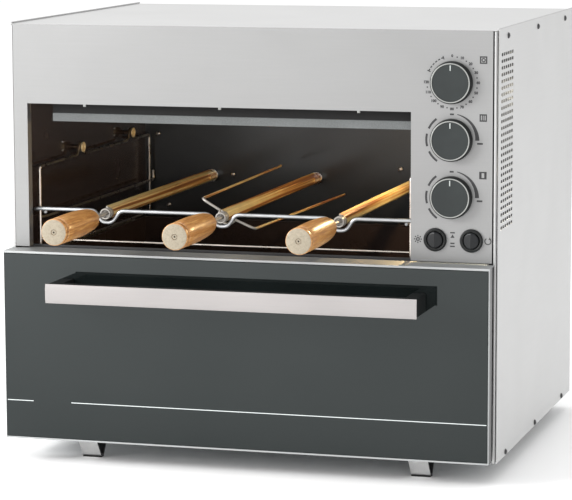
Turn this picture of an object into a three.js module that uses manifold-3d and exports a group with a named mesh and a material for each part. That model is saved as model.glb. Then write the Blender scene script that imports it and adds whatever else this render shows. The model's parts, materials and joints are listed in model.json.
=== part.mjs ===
// Electric barbecue oven with three turning skewers above a pull-out drawer.
// Millimetres, +Z up, the front faces -Y. The model is laid out with the front panel in the plane
// y = 0 and the floor at z = 0, then shifted so that the origin is the middle of its footprint.

import * as THREE from 'three';
import { mergeVertices } from 'three/addons/utils/BufferGeometryUtils.js';
import Module from 'manifold-3d';

const wasm = await Module();
wasm.setup();

// ---- driving dimensions -----------------------------------------------------------------------

const footHeight = 22;
const bodyHeight = 490;
const bodyDepth = 460;
const bodyHalfWidth = 290;
const sheet = 0.8;
const gap = 0.4;
const innerHalfWidth = 287.6;

const top = footHeight + bodyHeight;
const fasciaHalfWidth = 284.8;
const fasciaBottom = 252;
const windowLeft = -268;
const windowRight = 191.5;
const windowTop = 420;
const returnDepth = 12;

const cavityLeft = -271;
const cavityRight = 195;
const cavityBack = 424;
const cavityCeiling = 446;
const cavityMiddle = (cavityLeft + cavityRight) / 2;

const skewerZ = 292;
const skewerPitch = 141;
const skewerMiddleX = -35.5;
const skewers = [
  { side: 'left', x: skewerMiddleX - skewerPitch },
  { side: 'middle', x: skewerMiddleX },
  { side: 'right', x: skewerMiddleX + skewerPitch },
];
const gripFront = -158;
const gripBack = -36;
const gripRadius = 15;
const ferruleRadius = 6.4;
const ferruleFront = 8;
const ferruleBack = 22;
const tangRadius = 2.6;
const gripBore = 3;
const bladeFront = 26;
const bladeBack = 412;
const bladeWidth = 16;
const bladeDepth = 5.5;
const bladeSheet = 1.6;
const socketFront = 414;
const tipInSocket = 6;

const gearModule = 3;
const driveTeeth = 20;
const idlerTeeth = 27;
const pinionTeeth = 12;
const gearFront = 428;
const gearBack = 435;
const plateFront = 437;
const plateBack = 438.5;
const driveShaftRadius = 5;
const motorRadius = 25;

const barRadius = 2.3;
const rackWireRadius = 1.7;
const crossWireRadius = 1.3;
const crossWireZ = 258;
const rackInset = 8.7;
const rackFrontY = 22;
const rackBackY = 414;
const rackTop = 344;
const rackBottom = 240;
const railZ = 284;
const restBarY = 16;
const restBarZ = 295;
const cradleZ = 281.1;

const controlX = 238.4;
const knobHeights = [453.9, 389.6, 325.3];
const knobRadius = 24;
const knobDepth = 10;
const spindleRadius = 5.2;
const buttonMiddleX = 240.7;
const buttonSpacing = 41.6;
const barrelRadius = 10.7;
const buttonZ = 277;
const buttonRadius = 9.5;

const drawerHalfWidth = 288.8;
const drawerBottom = 28.5;
const drawerTop = 250.5;
const drawerFront = -30.8;
const drawerThickness = 16;
const glassThickness = 3.9;
const boxHalfWidth = 266;
const boxBack = 405;
const boxBottom = 37.5;
const boxTop = 236;
const handleHalfWidth = 217;
const handleLow = 199.3;
const handleHigh = 220.7;
const handleReach = 48;

const footWidth = 23;
const footX = 200;
const footFrontY = 22;
const footRearY = 424;

const glandX = 200;
const glandZ = 70;
const glandReach = 6;

// ---- materials --------------------------------------------------------------------------------

const finish = (color, roughness, metalness) =>
  new THREE.MeshStandardMaterial({ color, roughness, metalness });

const satinSteel = finish(0xc9cac9, 0.4, 0.9);
const galvanised = finish(0xb4b8ba, 0.5, 0.9);
const blackSteel = finish(0x1c1c1d, 0.5, 0.3);
const blackEnamel = finish(0x1d1714, 0.18, 0.1);
const chromeWire = finish(0xd6d6d8, 0.12, 1);
const heaterMetal = finish(0x6a5f58, 0.5, 0.7);
const blackPlastic = finish(0x1b1d1f, 0.4, 0);
const whitePlastic = finish(0xdedbd2, 0.5, 0);
const wood = finish(0xc08a4e, 0.5, 0);
const smokedGlass = finish(0x3b4142, 0.05, 0);
const clearGlass = finish(0xf3ead2, 0.05, 0);
const silverPaint = finish(0xd8d3d0, 0.3, 0.8);
const nylon = finish(0xe8e4d8, 0.5, 0);

// ---- shape helpers ----------------------------------------------------------------------------

// Turns a closed three.js geometry into a manifold solid.
function toSolid(geometry) {
  const bare = geometry.clone();
  bare.deleteAttribute('normal');
  bare.deleteAttribute('uv');
  const merged = mergeVertices(bare, 1e-4);
  const vertProperties = new Float32Array(merged.attributes.position.array);
  const triVerts = new Uint32Array(merged.index.array);
  return new wasm.Manifold(new wasm.Mesh({ numProp: 3, vertProperties, triVerts }));
}

function toGeometry(solid) {
  const mesh = solid.getMesh();
  const geometry = new THREE.BufferGeometry();
  geometry.setAttribute('position', new THREE.BufferAttribute(mesh.vertProperties, 3));
  geometry.setIndex(new THREE.BufferAttribute(mesh.triVerts, 1));
  geometry.computeVertexNormals();
  return geometry;
}

function join(...geometries) {
  return toGeometry(geometries.map(toSolid).reduce((a, b) => a.add(b)));
}

function carve(geometry, ...tools) {
  return toGeometry(tools.map(toSolid).reduce((a, b) => a.subtract(b), toSolid(geometry)));
}

// A rectangular block between two opposite corners.
function block(x0, x1, y0, y1, z0, z1) {
  const geometry = new THREE.BoxGeometry(x1 - x0, y1 - y0, z1 - z0);
  return geometry.translate((x0 + x1) / 2, (y0 + y1) / 2, (z0 + z1) / 2);
}

// A flat outline drawn in X and Z, from y0 to y1.
function prismAlongY(shape, y0, y1, curveSegments = 6) {
  const options = { depth: y1 - y0, bevelEnabled: false, curveSegments };
  return new THREE.ExtrudeGeometry(shape, options).rotateX(Math.PI / 2).translate(0, y1, 0);
}

// A flat outline drawn in Y and Z, from x0 to x1.
function prismAlongX(shape, x0, x1) {
  const options = { depth: x1 - x0, bevelEnabled: false };
  const axes = new THREE.Matrix4().makeBasis(
    new THREE.Vector3(0, 1, 0),
    new THREE.Vector3(0, 0, 1),
    new THREE.Vector3(1, 0, 0),
  );
  return new THREE.ExtrudeGeometry(shape, options).applyMatrix4(axes).translate(x0, 0, 0);
}

// A cylinder along Y. It stands on a side of its polygon when the side count is even.
function rodAlongY(radius, x, z, y0, y1, sides = 16) {
  const geometry = new THREE.CylinderGeometry(radius, radius, y1 - y0, sides);
  return geometry.translate(x, (y0 + y1) / 2, z);
}

function rodAlongX(radius, x0, x1, y, z, sides = 16) {
  const geometry = new THREE.CylinderGeometry(radius, radius, x1 - x0, sides);
  return geometry.rotateZ(Math.PI / 2).translate((x0 + x1) / 2, y, z);
}

// A turned shape about an axis along Y through (x, z). The profile is a list of [radius, y].
function turned(profile, x, z, sides = 20) {
  const points = profile.map(([radius, y]) => new THREE.Vector2(radius, y));
  return new THREE.LatheGeometry(points, sides).translate(x, 0, z);
}

function outline(points) {
  return new THREE.Shape(points.map(([a, b]) => new THREE.Vector2(a, b)));
}

// A line of straight stretches whose sample points are exactly the ones it is given.
class WireLine extends THREE.Curve {
  constructor(points) {
    super();
    this.points = points;
  }

  getPointAt(u, target = new THREE.Vector3()) {
    const place = u * (this.points.length - 1);
    const index = Math.min(Math.floor(place + 1e-6), this.points.length - 2);
    return target.lerpVectors(this.points[index], this.points[index + 1], place - index);
  }

  getTangentAt(u, target = new THREE.Vector3()) {
    const index = Math.round(u * (this.points.length - 1));
    const before = this.points[Math.max(index - 1, 0)];
    const here = this.points[index];
    const after = this.points[Math.min(index + 1, this.points.length - 1)];
    const into = here.clone().sub(before).normalize();
    const out = after.clone().sub(here).normalize();
    return target.addVectors(into, out).normalize();
  }
}

// Replaces each corner of a bent line with a short arc of the given size.
function roundCorners(corners, bend, steps = 3) {
  const points = corners.map((corner) => new THREE.Vector3(...corner));
  const route = [points[0]];
  for (let i = 1; i < points.length - 1; i += 1) {
    const corner = points[i];
    const back = points[i - 1].clone().sub(corner);
    const onward = points[i + 1].clone().sub(corner);
    const start = corner.clone().add(back.setLength(Math.min(bend, back.length() * 0.49)));
    const end = corner.clone().add(onward.setLength(Math.min(bend, onward.length() * 0.49)));
    route.push(...new THREE.QuadraticBezierCurve3(start, corner, end).getPoints(steps));
  }
  route.push(points.at(-1));
  return route;
}

// Round wire or tube along a route of points.
function wire(route, radius) {
  const section = new THREE.Shape().absarc(0, 0, radius, 0, Math.PI * 2);
  const extrudePath = new WireLine(route);
  const options = { steps: route.length - 1, extrudePath, curveSegments: 4 };
  return new THREE.ExtrudeGeometry(section, options);
}

const oven = new THREE.Group();

function add(name, geometry, material) {
  const mesh = new THREE.Mesh(geometry, material);
  mesh.name = name;
  oven.add(mesh);
}

// ---- casing -----------------------------------------------------------------------------------

const ventRows = 27;
const ventPitch = 7.5;
const ventTop = 484;
const ventSlot = { y0: 20, y1: 86, height: 4 };
const sideFront = 8;
const hemRise = 1.6;
const sideFlange = 10;

// A side panel with turned-in top and bottom edges and a column of vent slots behind the front.
function sidePanel(side) {
  const outer = side * bodyHalfWidth;
  const inner = side * (bodyHalfWidth - sheet);
  const turnedIn = side * (bodyHalfWidth - sideFlange);
  const between = (a, b) => [Math.min(a, b), Math.max(a, b)];
  const shell = join(
    block(...between(outer, inner), sideFront, bodyDepth, footHeight, top + hemRise),
    block(...between(outer, turnedIn), 20, bodyDepth - 2, footHeight, footHeight + sheet),
  );
  const slots = [];
  for (let row = 0; row < ventRows; row += 1) {
    const z = ventTop - row * ventPitch;
    const { y0, y1, height } = ventSlot;
    const [x0, x1] = between(outer + side, inner - side);
    slots.push(block(x0, x1, y0, y1, z - height / 2, z + height / 2));
  }
  return carve(shell, ...slots);
}

add('left_side_panel', sidePanel(-1), satinSteel);
add('right_side_panel', sidePanel(1), satinSteel);

const coverHalfWidth = bodyHalfWidth - sheet - gap;
const coverLipY = 440;
const coverLip = 9;
const topCover = join(
  block(-coverHalfWidth, coverHalfWidth, sheet + gap, bodyDepth - sheet - gap, top - sheet, top),
  block(-coverHalfWidth, coverHalfWidth, coverLipY, coverLipY + sheet, top - coverLip, top - sheet / 2),
);
add('top_cover', topCover, satinSteel);

// The back cover screws on behind the skewer drive. Its slots let the drive compartment breathe.
const backSlot = { count: 12, pitch: 14, x: 150, halfLength: 45, height: 4, lowest: 150 };
const backSlots = [-1, 1].flatMap((side) =>
  Array.from({ length: backSlot.count }, (_, row) => {
    const x = side * backSlot.x;
    const z = backSlot.lowest + row * backSlot.pitch;
    const { halfLength, height } = backSlot;
    return block(x - halfLength, x + halfLength, bodyDepth - 3, bodyDepth + 1, z, z + height);
  }),
);
const glandHole = rodAlongY(8, glandX, glandZ, bodyDepth - 3, bodyDepth + 1);
const backPlate = block(
  -coverHalfWidth, coverHalfWidth, bodyDepth - sheet, bodyDepth, footHeight + 2, top - 2,
);
add('back_cover', carve(backPlate, ...backSlots, glandHole), galvanised);

// The base pan carries two folded runners that the drawer slides on.
const runnerTop = boxBottom - 0.5;
const panFloor = footHeight + gap + sheet;
const runnerFront = 22;
const runnerBack = 420;
const shelfInner = 269;
function runner(side) {
  const low = side > 0 ? innerHalfWidth - sheet : -innerHalfWidth;
  const shelf = [side * innerHalfWidth, side * shelfInner].sort((a, b) => a - b);
  return join(
    block(low, low + sheet, runnerFront, runnerBack, panFloor, runnerTop),
    block(...shelf, runnerFront, runnerBack, runnerTop - sheet, runnerTop),
  );
}
const basePan = join(
  block(-279, 279, 18, bodyDepth - 2, panFloor, panFloor + sheet),
  block(-innerHalfWidth, innerHalfWidth, runnerFront, 440, panFloor, panFloor + sheet),
  runner(-1),
  runner(1),
);
add('base_pan', basePan, galvanised);

// The front frame is a black picture frame with one opening for the oven and one for the drawer.
const frameFront = 13;
const frameBack = 16;
const frameHalfWidth = 288.4;
const frameHeight = [footHeight + 1.6, top - 1.6];
const ovenOpening = [-272, 277];
const drawerOpening = [-279.5, 279.5];
const railBottom = fasciaBottom - 8;
const railTop = fasciaBottom + 1;
const headBottom = top - 22;
const frontFrame = carve(
  block(-frameHalfWidth, frameHalfWidth, frameFront, frameBack, ...frameHeight),
  block(...ovenOpening, frameFront - 1, frameBack + 1, railTop, headBottom),
  block(...drawerOpening, frameFront - 1, frameBack + 1, runnerTop - sheet, railBottom),
);
add('front_frame', frontFrame, blackSteel);

// The fascia is one steel sheet round the window, which is open at the bottom, with the controls
// on its wide right leg. The window's edges are folded back into the oven.
const fasciaOutline = outline([
  [-fasciaHalfWidth, fasciaBottom],
  [windowLeft, fasciaBottom],
  [windowLeft, windowTop],
  [windowRight, windowTop],
  [windowRight, fasciaBottom],
  [fasciaHalfWidth, fasciaBottom],
  [fasciaHalfWidth, top],
  [-fasciaHalfWidth, top],
]);
const fasciaSheet = join(
  prismAlongY(fasciaOutline, 0, sheet),
  block(windowLeft - sheet, windowLeft, 0, returnDepth, fasciaBottom, windowTop + sheet),
  block(windowRight, windowRight + sheet, 0, returnDepth, fasciaBottom, windowTop + sheet),
  block(windowLeft, windowRight, 0, returnDepth, windowTop, windowTop + sheet),
);
const spindleHole = spindleRadius + 0.8;
const knobHoles = knobHeights.map((z) => rodAlongY(spindleHole, controlX, z, -1, sheet + 1));
const buttonXs = [-1, 1].map((side) => buttonMiddleX + (side * buttonSpacing) / 2);
const buttonHoles = buttonXs.map((x) =>
  rodAlongY(barrelRadius + 0.5, x, buttonZ, -1, sheet + 1, 20),
);
add('front_fascia', carve(fasciaSheet, ...knobHoles, ...buttonHoles), satinSteel);

const trimSpan = [0, returnDepth, footHeight + 1.6, top - sheet - gap];
add('corner_trim_left', block(-288.8, -285.2, ...trimSpan), satinSteel);
add('corner_trim_right', block(286.4, 288.4, ...trimSpan), satinSteel);

// Each foot is a strip folded into a V with a small flat underneath.
function foot(x, y) {
  const half = 19;
  const flat = 4;
  const thick = 2;
  const high = footHeight - gap;
  const section = outline([
    [-half, high],
    [-flat, 0],
    [flat, 0],
    [half, high],
    [half - thick * 1.3, high],
    [flat - thick * 0.6, thick],
    [-flat + thick * 0.6, thick],
    [-half + thick * 1.3, high],
  ]);
  return prismAlongX(section, x - footWidth / 2, x + footWidth / 2).translate(0, y, 0);
}
add('foot_front_left', foot(-footX, footFrontY), blackSteel);
add('foot_front_right', foot(footX, footFrontY), blackSteel);
add('foot_rear_left', foot(-footX, footRearY), blackSteel);
add('foot_rear_right', foot(footX, footRearY), blackSteel);

// The gland lines the cable hole in the back cover.
const gland = turned(
  [[3.5, 456], [7.2, 456], [7.2, 460.3], [10, 460.3], [9, 466], [3.5, 466], [3.5, 456]],
  glandX,
  glandZ,
  16,
);
add('cord_gland', gland, blackPlastic);

// ---- oven cavity ------------------------------------------------------------------------------

const rackLeftX = cavityLeft + rackInset;
const rackRightX = cavityRight - rackInset;
const pinYs = [160, 343];
const pinZ = 353;
const pinRadius = 2.6;
const pinHeadRadius = 6.5;

// A stud with a wide head, which the side rack hangs on.
function rackPin(wallX, inward, y) {
  const reach = rackInset + rackWireRadius + 0.6;
  const head = 2;
  const ends = (a, b) => [wallX + inward * a, wallX + inward * b].sort((p, q) => p - q);
  return join(
    rodAlongX(pinRadius, ...ends(-sheet / 2, reach + head), y, pinZ, 10),
    rodAlongX(pinHeadRadius, ...ends(reach, reach + head), y, pinZ, 14),
  );
}

const wallFront = frameBack + gap;
const wallBack = cavityBack - gap;
const wallLow = boxTop + 3;
const leftWall = join(
  block(cavityLeft - sheet, cavityLeft, wallFront, wallBack, wallLow, cavityCeiling - gap),
  ...pinYs.map((y) => rackPin(cavityLeft, 1, y)),
);
add('cavity_left_wall', leftWall, blackEnamel);

// The right wall turns outwards at its foot, which closes the control compartment underneath.
const lampY = 230;
const lampZ = 390;
const controlFloor = 254;
const rightWall = carve(
  join(
    block(cavityRight, cavityRight + sheet, wallFront, wallBack, wallLow, cavityCeiling - gap),
    block(cavityRight, innerHalfWidth, wallFront, wallBack, controlFloor, controlFloor + sheet),
    ...pinYs.map((y) => rackPin(cavityRight, -1, y)),
  ),
  rodAlongX(12, cavityRight - 1, cavityRight + sheet + 1, lampY, lampZ),
);
add('cavity_right_wall', rightWall, blackEnamel);

const shaftHole = driveShaftRadius + 0.6;
const backWall = carve(
  block(-innerHalfWidth, innerHalfWidth, cavityBack, cavityBack + sheet, 26, cavityCeiling),
  ...skewers.map(({ x }) => rodAlongY(shaftHole, x, skewerZ, cavityBack - 1, cavityBack + 3)),
);
add('cavity_back_wall', backWall, blackEnamel);

// The reflector hangs over the heaters, with a skirt across the front that hides them.
const skirtFront = 20;
const skirtSpan = [-244, 190];
const skirtBottom = 398;
const skirtFold = 407;
const skirtLipFront = 19.4;
const reflector = join(
  block(-268, 192, skirtFront, wallBack, cavityCeiling, cavityCeiling + sheet),
  block(...skirtSpan, skirtFront, skirtFront + sheet, skirtFold, cavityCeiling + sheet / 2),
  block(...skirtSpan, skirtLipFront, skirtFront + 12, skirtBottom, skirtFold + 0.5),
);
add('cavity_reflector', reflector, blackEnamel);

// Sheathed heaters: one loop near the walls and a narrower one in the middle.
const heaterRadius = 3.4;
const heaterZ = 428;
function heaterLoop(halfWidth, front) {
  const left = cavityMiddle - halfWidth;
  const right = cavityMiddle + halfWidth;
  const back = cavityBack - 1;
  const corners = [[left, back], [left, front], [right, front], [right, back]];
  const route = roundCorners(corners.map(([x, y]) => [x, y, heaterZ]), 30, 5);
  return wire(route, heaterRadius);
}
add('heater_outer', heaterLoop(196, 52), heaterMetal);
add('heater_centre', heaterLoop(88, 92), heaterMetal);

const lampHolder = carve(
  join(
    rodAlongX(11.5, cavityRight - 1, cavityRight + 20, lampY, lampZ),
    rodAlongX(15, cavityRight + sheet + gap, cavityRight + 8, lampY, lampZ),
  ),
  rodAlongX(6.4, cavityRight - 2, cavityRight + 14, lampY, lampZ),
);
add('lamp_holder', lampHolder, whitePlastic);
const bulbProfile = [[0, -16], [5, -14.5], [7.8, -8], [7, -3], [5, 0], [5, 14], [0, 14]];
const bulb = turned(bulbProfile, 0, 0, 14)
  .rotateZ(-Math.PI / 2)
  .translate(cavityRight - 1, lampY, lampZ);
add('lamp_bulb', bulb, clearGlass);

// ---- racks and rest bar -----------------------------------------------------------------------

// A side rack is a closed wire frame with two humps that hang on the wall's studs, and a lower
// wire whose back end turns up.
function sideRack(x, inward) {
  const humpTop = pinZ + pinRadius + gap + rackWireRadius;
  const humps = pinYs.flatMap((y) => [
    [x, y - 13, rackTop],
    [x, y - 6, humpTop],
    [x, y + 6, humpTop],
    [x, y + 13, rackTop],
  ]);
  const railX = x + inward * (rackWireRadius * 2 - 0.3);
  const railFront = 38;
  const railBack = rackBackY + 6;
  const frame = roundCorners(
    [
      [x, rackFrontY, rackBottom],
      [x, rackFrontY, rackTop],
      ...humps,
      [x, rackBackY, rackTop],
      [x, rackBackY, rackBottom],
    ],
    5,
    2,
  );
  const rail = roundCorners(
    [
      [x, rackFrontY + 1, railZ],
      [railX, railFront, railZ],
      [railX, railBack, railZ],
      [railX, railBack, railZ + 12],
    ],
    4,
    2,
  );
  const sill = roundCorners([[x, rackFrontY, rackBottom + 2], [x, rackBackY, rackBottom + 2]]);
  return join(...[frame, rail, sill].map((route) => wire(route, rackWireRadius)));
}
add('rack_left', sideRack(rackLeftX, 1), chromeWire);
add('rack_right', sideRack(rackRightX, -1), chromeWire);

const crossEnd = rackWireRadius + gap;
const crossRoute = roundCorners([
  [rackLeftX + crossEnd, rackFrontY, crossWireZ],
  [rackRightX - crossEnd, rackFrontY, crossWireZ],
]);
add('cross_wire', wire(crossRoute, crossWireRadius), chromeWire);

// The rest bar dips under each skewer's ferrule. Its ends wind down round the front wires of the
// side racks.
const hookRadius = rackFrontY - restBarY;
const hookSteps = 8;
const hookTurn = Math.PI * 1.4;
const hookDrop = 5;
function hook(x, outward) {
  return Array.from({ length: hookSteps + 1 }, (_, step) => {
    const share = step / hookSteps;
    const across = outward * Math.sin(share * hookTurn) * hookRadius;
    const behind = rackFrontY - Math.cos(share * hookTurn) * hookRadius;
    return [x + across, behind, restBarZ - share * hookDrop];
  });
}
const cradles = skewers.flatMap(({ x }) => [
  [x - 16, restBarY, restBarZ],
  [x - 6, restBarY, cradleZ],
  [x + 6, restBarY, cradleZ],
  [x + 16, restBarY, restBarZ],
]);
const leftHook = hook(rackLeftX, -1).reverse();
const rightHook = hook(rackRightX, 1);
const toVectors = (points) => points.map((point) => new THREE.Vector3(...point));
const restRoute = [
  ...toVectors(leftHook),
  ...roundCorners([leftHook.at(-1), ...cradles, rightHook[0]], 5, 3).slice(1, -1),
  ...toVectors(rightHook),
];
add('rest_bar', wire(restRoute, barRadius), chromeWire);

// ---- controls ---------------------------------------------------------------------------------

// A timer or regulator: a box behind the fascia.
function controlBox(z, halfWidth, depth) {
  return block(controlX - halfWidth, controlX + halfWidth, 7, 7 + depth, z - 21, z + 21);
}
add('timer_body', controlBox(knobHeights[0], 22, 38), whitePlastic);
add('centre_regulator', controlBox(knobHeights[1], 19, 30), whitePlastic);
add('outer_regulator', controlBox(knobHeights[2], 19, 30), whitePlastic);

// A knob and the spindle that it turns.
function knob(z) {
  return turned(
    [
      [0, -knobDepth],
      [knobRadius - 3, -knobDepth],
      [knobRadius - 1.2, -knobDepth + 1.2],
      [knobRadius, -2],
      [knobRadius, -gap],
      [spindleRadius, -gap],
      [spindleRadius, 6.6],
      [0, 6.6],
    ],
    controlX,
    z,
    28,
  );
}
add('timer_knob', knob(knobHeights[0]), blackPlastic);
add('centre_knob', knob(knobHeights[1]), blackPlastic);
add('outer_knob', knob(knobHeights[2]), blackPlastic);

// A push switch: a round bezel on the fascia, a barrel through it and a body behind.
const bezelRadius = 13.2;
function pushSwitch(x) {
  const shell = join(
    turned(
      [
        [0, -3],
        [bezelRadius - 1.2, -3],
        [bezelRadius, -1.6],
        [bezelRadius, -gap],
        [barrelRadius, -gap],
        [barrelRadius, 14],
        [0, 14],
      ],
      x,
      buttonZ,
      24,
    ),
    block(x - 9, x + 9, 13.5, 30, buttonZ - 9, buttonZ + 9),
  );
  return carve(shell, rodAlongY(buttonRadius + 0.5, x, buttonZ, -4, 11, 24));
}
function pushButton(x) {
  const profile = [[0, -6.4], [7.6, -6.4], [buttonRadius, -5], [buttonRadius, 7], [0, 7]];
  return turned(profile, x, buttonZ, 24);
}
add('lamp_switch', pushSwitch(buttonXs[0]), blackPlastic);
add('motor_switch', pushSwitch(buttonXs[1]), blackPlastic);
add('lamp_button', pushButton(buttonXs[0]), blackPlastic);
add('motor_button', pushButton(buttonXs[1]), blackPlastic);

// ---- skewer drive -----------------------------------------------------------------------------

// A spur gear about the origin, with tapered teeth and play between the flanks.
// toothAngle is the direction of one tooth's middle, in degrees.
function gearOutline(teeth, toothAngle) {
  const pitchRadius = (gearModule * teeth) / 2;
  const tip = pitchRadius + gearModule * 0.9;
  const root = pitchRadius - gearModule * 1.2;
  const tipHalf = 1.0 / tip;
  const rootHalf = 2.6 / root;
  const shape = new THREE.Shape();
  for (let tooth = 0; tooth < teeth; tooth += 1) {
    const middle = THREE.MathUtils.degToRad(toothAngle) + (tooth / teeth) * Math.PI * 2;
    const corners = [[root, -rootHalf], [tip, -tipHalf], [tip, tipHalf], [root, rootHalf]];
    corners.forEach(([radius, swing], index) => {
      const angle = middle + swing;
      const x = radius * Math.cos(angle);
      const y = radius * Math.sin(angle);
      if (tooth === 0 && index === 0) shape.moveTo(x, y);
      else shape.lineTo(x, y);
    });
  }
  return shape;
}

function gear(teeth, toothAngle, boreRadius, x, z) {
  const shape = gearOutline(teeth, toothAngle);
  shape.holes.push(new THREE.Path().absarc(0, 0, boreRadius, 0, Math.PI * 2, true));
  return prismAlongY(shape, gearFront, gearBack).translate(x, 0, z);
}

// Every drive gear meshes with an idler on the line between the skewers. The tooth angles put a
// tooth of one gear in a gap of the next.
const halfDrivePitch = 180 / driveTeeth;
const halfIdlerPitch = 180 / idlerTeeth;
const driveAngles = { left: halfDrivePitch, middle: 0, right: halfDrivePitch };
const gearBore = driveShaftRadius + gap;
skewers.forEach(({ side, x }) => {
  add(`drive_gear_${side}`, gear(driveTeeth, driveAngles[side], gearBore, x, skewerZ), nylon);
});
const idlers = [
  { side: 'left', x: skewerMiddleX - skewerPitch / 2, toothAngle: halfIdlerPitch },
  { side: 'right', x: skewerMiddleX + skewerPitch / 2, toothAngle: 0 },
];
const idlerPinRadius = 4;
idlers.forEach(({ side, x, toothAngle }) => {
  add(`idler_gear_${side}`, gear(idlerTeeth, toothAngle, idlerPinRadius + gap, x, skewerZ), nylon);
});

const pinionZ = skewerZ - (gearModule * (driveTeeth + pinionTeeth)) / 2;
const halfPinionPitch = 180 / pinionTeeth;
const pinion = join(
  prismAlongY(gearOutline(pinionTeeth, halfPinionPitch), gearFront, gearBack).translate(
    skewerMiddleX,
    0,
    pinionZ,
  ),
  rodAlongY(3, skewerMiddleX, pinionZ, gearBack - 1, plateBack + 0.2, 12),
);
add('motor_pinion', pinion, nylon);

// The gear plate carries the rear ends of the shafts and the idlers' pins.
const gearPlate = carve(
  join(
    block(-214, 143, plateFront, plateBack, 212, 342),
    block(-214, 143, cavityBack + sheet + gap, plateBack, 341, 342.5),
    ...idlers.map(({ x }) => rodAlongY(idlerPinRadius, x, skewerZ, gearFront - 0.5, plateBack, 12)),
  ),
  ...skewers.map(({ x }) => rodAlongY(gearBore, x, skewerZ, plateFront - 1, plateBack + 1)),
  rodAlongY(3.6, skewerMiddleX, pinionZ, plateFront - 1, plateBack + 1, 12),
);
add('gear_plate', gearPlate, galvanised);

const gearmotor = join(
  rodAlongY(motorRadius, skewerMiddleX, pinionZ, plateBack + gap, bodyDepth - sheet - 2, 24),
  block(
    skewerMiddleX - 34, skewerMiddleX + 34, plateBack + gap, plateBack + 2, pinionZ - 6, pinionZ + 6,
  ),
);
add('gearmotor', gearmotor, galvanised);

// A socket is a short cup with a six-sided hole, on a shaft through the back wall.
const hexRadius = 5.7;
skewers.forEach(({ side, x }) => {
  const body = turned(
    [
      [0, socketFront],
      [8.4, socketFront],
      [9, socketFront + 1],
      [9, cavityBack - 0.6],
      [driveShaftRadius, cavityBack - 0.6],
      [driveShaftRadius, plateBack + 1.2],
      [0, plateBack + 1.2],
    ],
    x,
    skewerZ,
    18,
  );
  const hole = rodAlongY(hexRadius, x, skewerZ, socketFront - 1, socketFront + 7.6, 6);
  add(`socket_${side}`, carve(body, hole), chromeWire);
});

// ---- skewers ----------------------------------------------------------------------------------

// A blade is a folded channel with a hollow ferrule in front, a rod from the ferrule through the
// grip and a six-sided tip that fits the socket.
function blade(x) {
  const half = bladeWidth / 2;
  const web = half - 3.6;
  const out = bladeDepth / 2;
  const skin = bladeSheet;
  const channel = outline([
    [-out, -half],
    [out, -web],
    [out, web],
    [-out, half],
    [-out - 0.4, half - skin],
    [out - skin, web - 0.5],
    [out - skin, -web + 0.5],
    [-out - 0.4, -half + skin],
  ]);
  const neck = turned(
    [
      [0, gripFront + 1],
      [tangRadius, gripFront + 1],
      [tangRadius, ferruleFront + 5],
      [ferruleRadius - 1.7, ferruleFront + 5],
      [ferruleRadius - 1.7, ferruleFront],
      [ferruleRadius, ferruleFront],
      [ferruleRadius, ferruleBack],
      [5, bladeFront + 2],
      [0, bladeFront + 2],
    ],
    0,
    0,
    16,
  );
  return join(
    prismAlongY(channel, bladeFront - 6, bladeBack),
    neck,
    rodAlongY(5.2, 0, 0, bladeBack - 16, socketFront + tipInSocket, 6),
  ).translate(x, 0, skewerZ);
}

// A turned wooden grip with a groove behind its end disc and a hole for the tang.
function grip(x) {
  return turned(
    [
      [gripBore, gripFront],
      [gripRadius - 1.4, gripFront],
      [gripRadius, gripFront + 1.6],
      [gripRadius, gripFront + 8],
      [gripRadius - 1.2, gripFront + 9.5],
      [gripRadius, gripFront + 12],
      [gripRadius + 0.4, gripFront + 50],
      [gripRadius - 0.4, gripBack - 36],
      [gripRadius - 1.9, gripBack - 16],
      [gripRadius - 3.9, gripBack - 5],
      [gripRadius - 7, gripBack],
      [gripBore, gripBack],
      [gripBore, gripFront],
    ],
    x,
    skewerZ,
    22,
  );
}

skewers.forEach(({ side, x }) => {
  add(`blade_${side}`, blade(x), chromeWire);
  add(`grip_${side}`, grip(x), wood);
});

// The roast fork is one bent wire: two tines along the blade, joined by a half ring round it.
const forkTilt = THREE.MathUtils.degToRad(150);
const lowerTilt = THREE.MathUtils.degToRad(335);
const lowerTipTilt = THREE.MathUtils.degToRad(340);
const forkReach = 36;
const forkY = 36;
const tineTip = 372;
const forkWire = 1.5;
function forkPoint(radius, angle, y) {
  return [skewerMiddleX + radius * Math.cos(angle), y, skewerZ + radius * Math.sin(angle)];
}
const ringRadius = bladeWidth / 2 + forkWire + 1;
const forkRing = Array.from({ length: 7 }, (_, step) =>
  forkPoint(ringRadius, forkTilt + (step / 6) * Math.PI, forkY),
);
const forkRoute = [
  ...roundCorners(
    [
      forkPoint(forkReach + 4, forkTilt, tineTip),
      forkPoint(forkReach, forkTilt, forkY),
      forkRing[0],
    ],
    7,
    4,
  ).slice(0, -1),
  ...forkRing.map((p) => new THREE.Vector3(...p)),
  ...roundCorners(
    [
      forkRing.at(-1),
      forkPoint(forkReach, lowerTilt, forkY),
      forkPoint(forkReach + 12, lowerTipTilt, tineTip + 16),
    ],
    7,
    4,
  ).slice(1),
];
add('roast_fork', wire(forkRoute, forkWire), chromeWire);

// ---- drawer -----------------------------------------------------------------------------------

const drawerBack = drawerFront + drawerThickness;
const glassBack = drawerFront + glassThickness + 0.2;
const panLip = { side: 0.9, low: 2, high: 2.6 };
const panShell = carve(
  block(-drawerHalfWidth, drawerHalfWidth, drawerFront, drawerBack, drawerBottom, drawerTop),
  block(
    -drawerHalfWidth + panLip.side, drawerHalfWidth - panLip.side,
    drawerFront - 1, glassBack,
    drawerBottom + panLip.low, drawerTop - panLip.high,
  ),
  block(
    -drawerHalfWidth + sheet, drawerHalfWidth - sheet,
    glassBack + 1.6, drawerBack + 1,
    drawerBottom + sheet, drawerTop - sheet,
  ),
);
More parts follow.
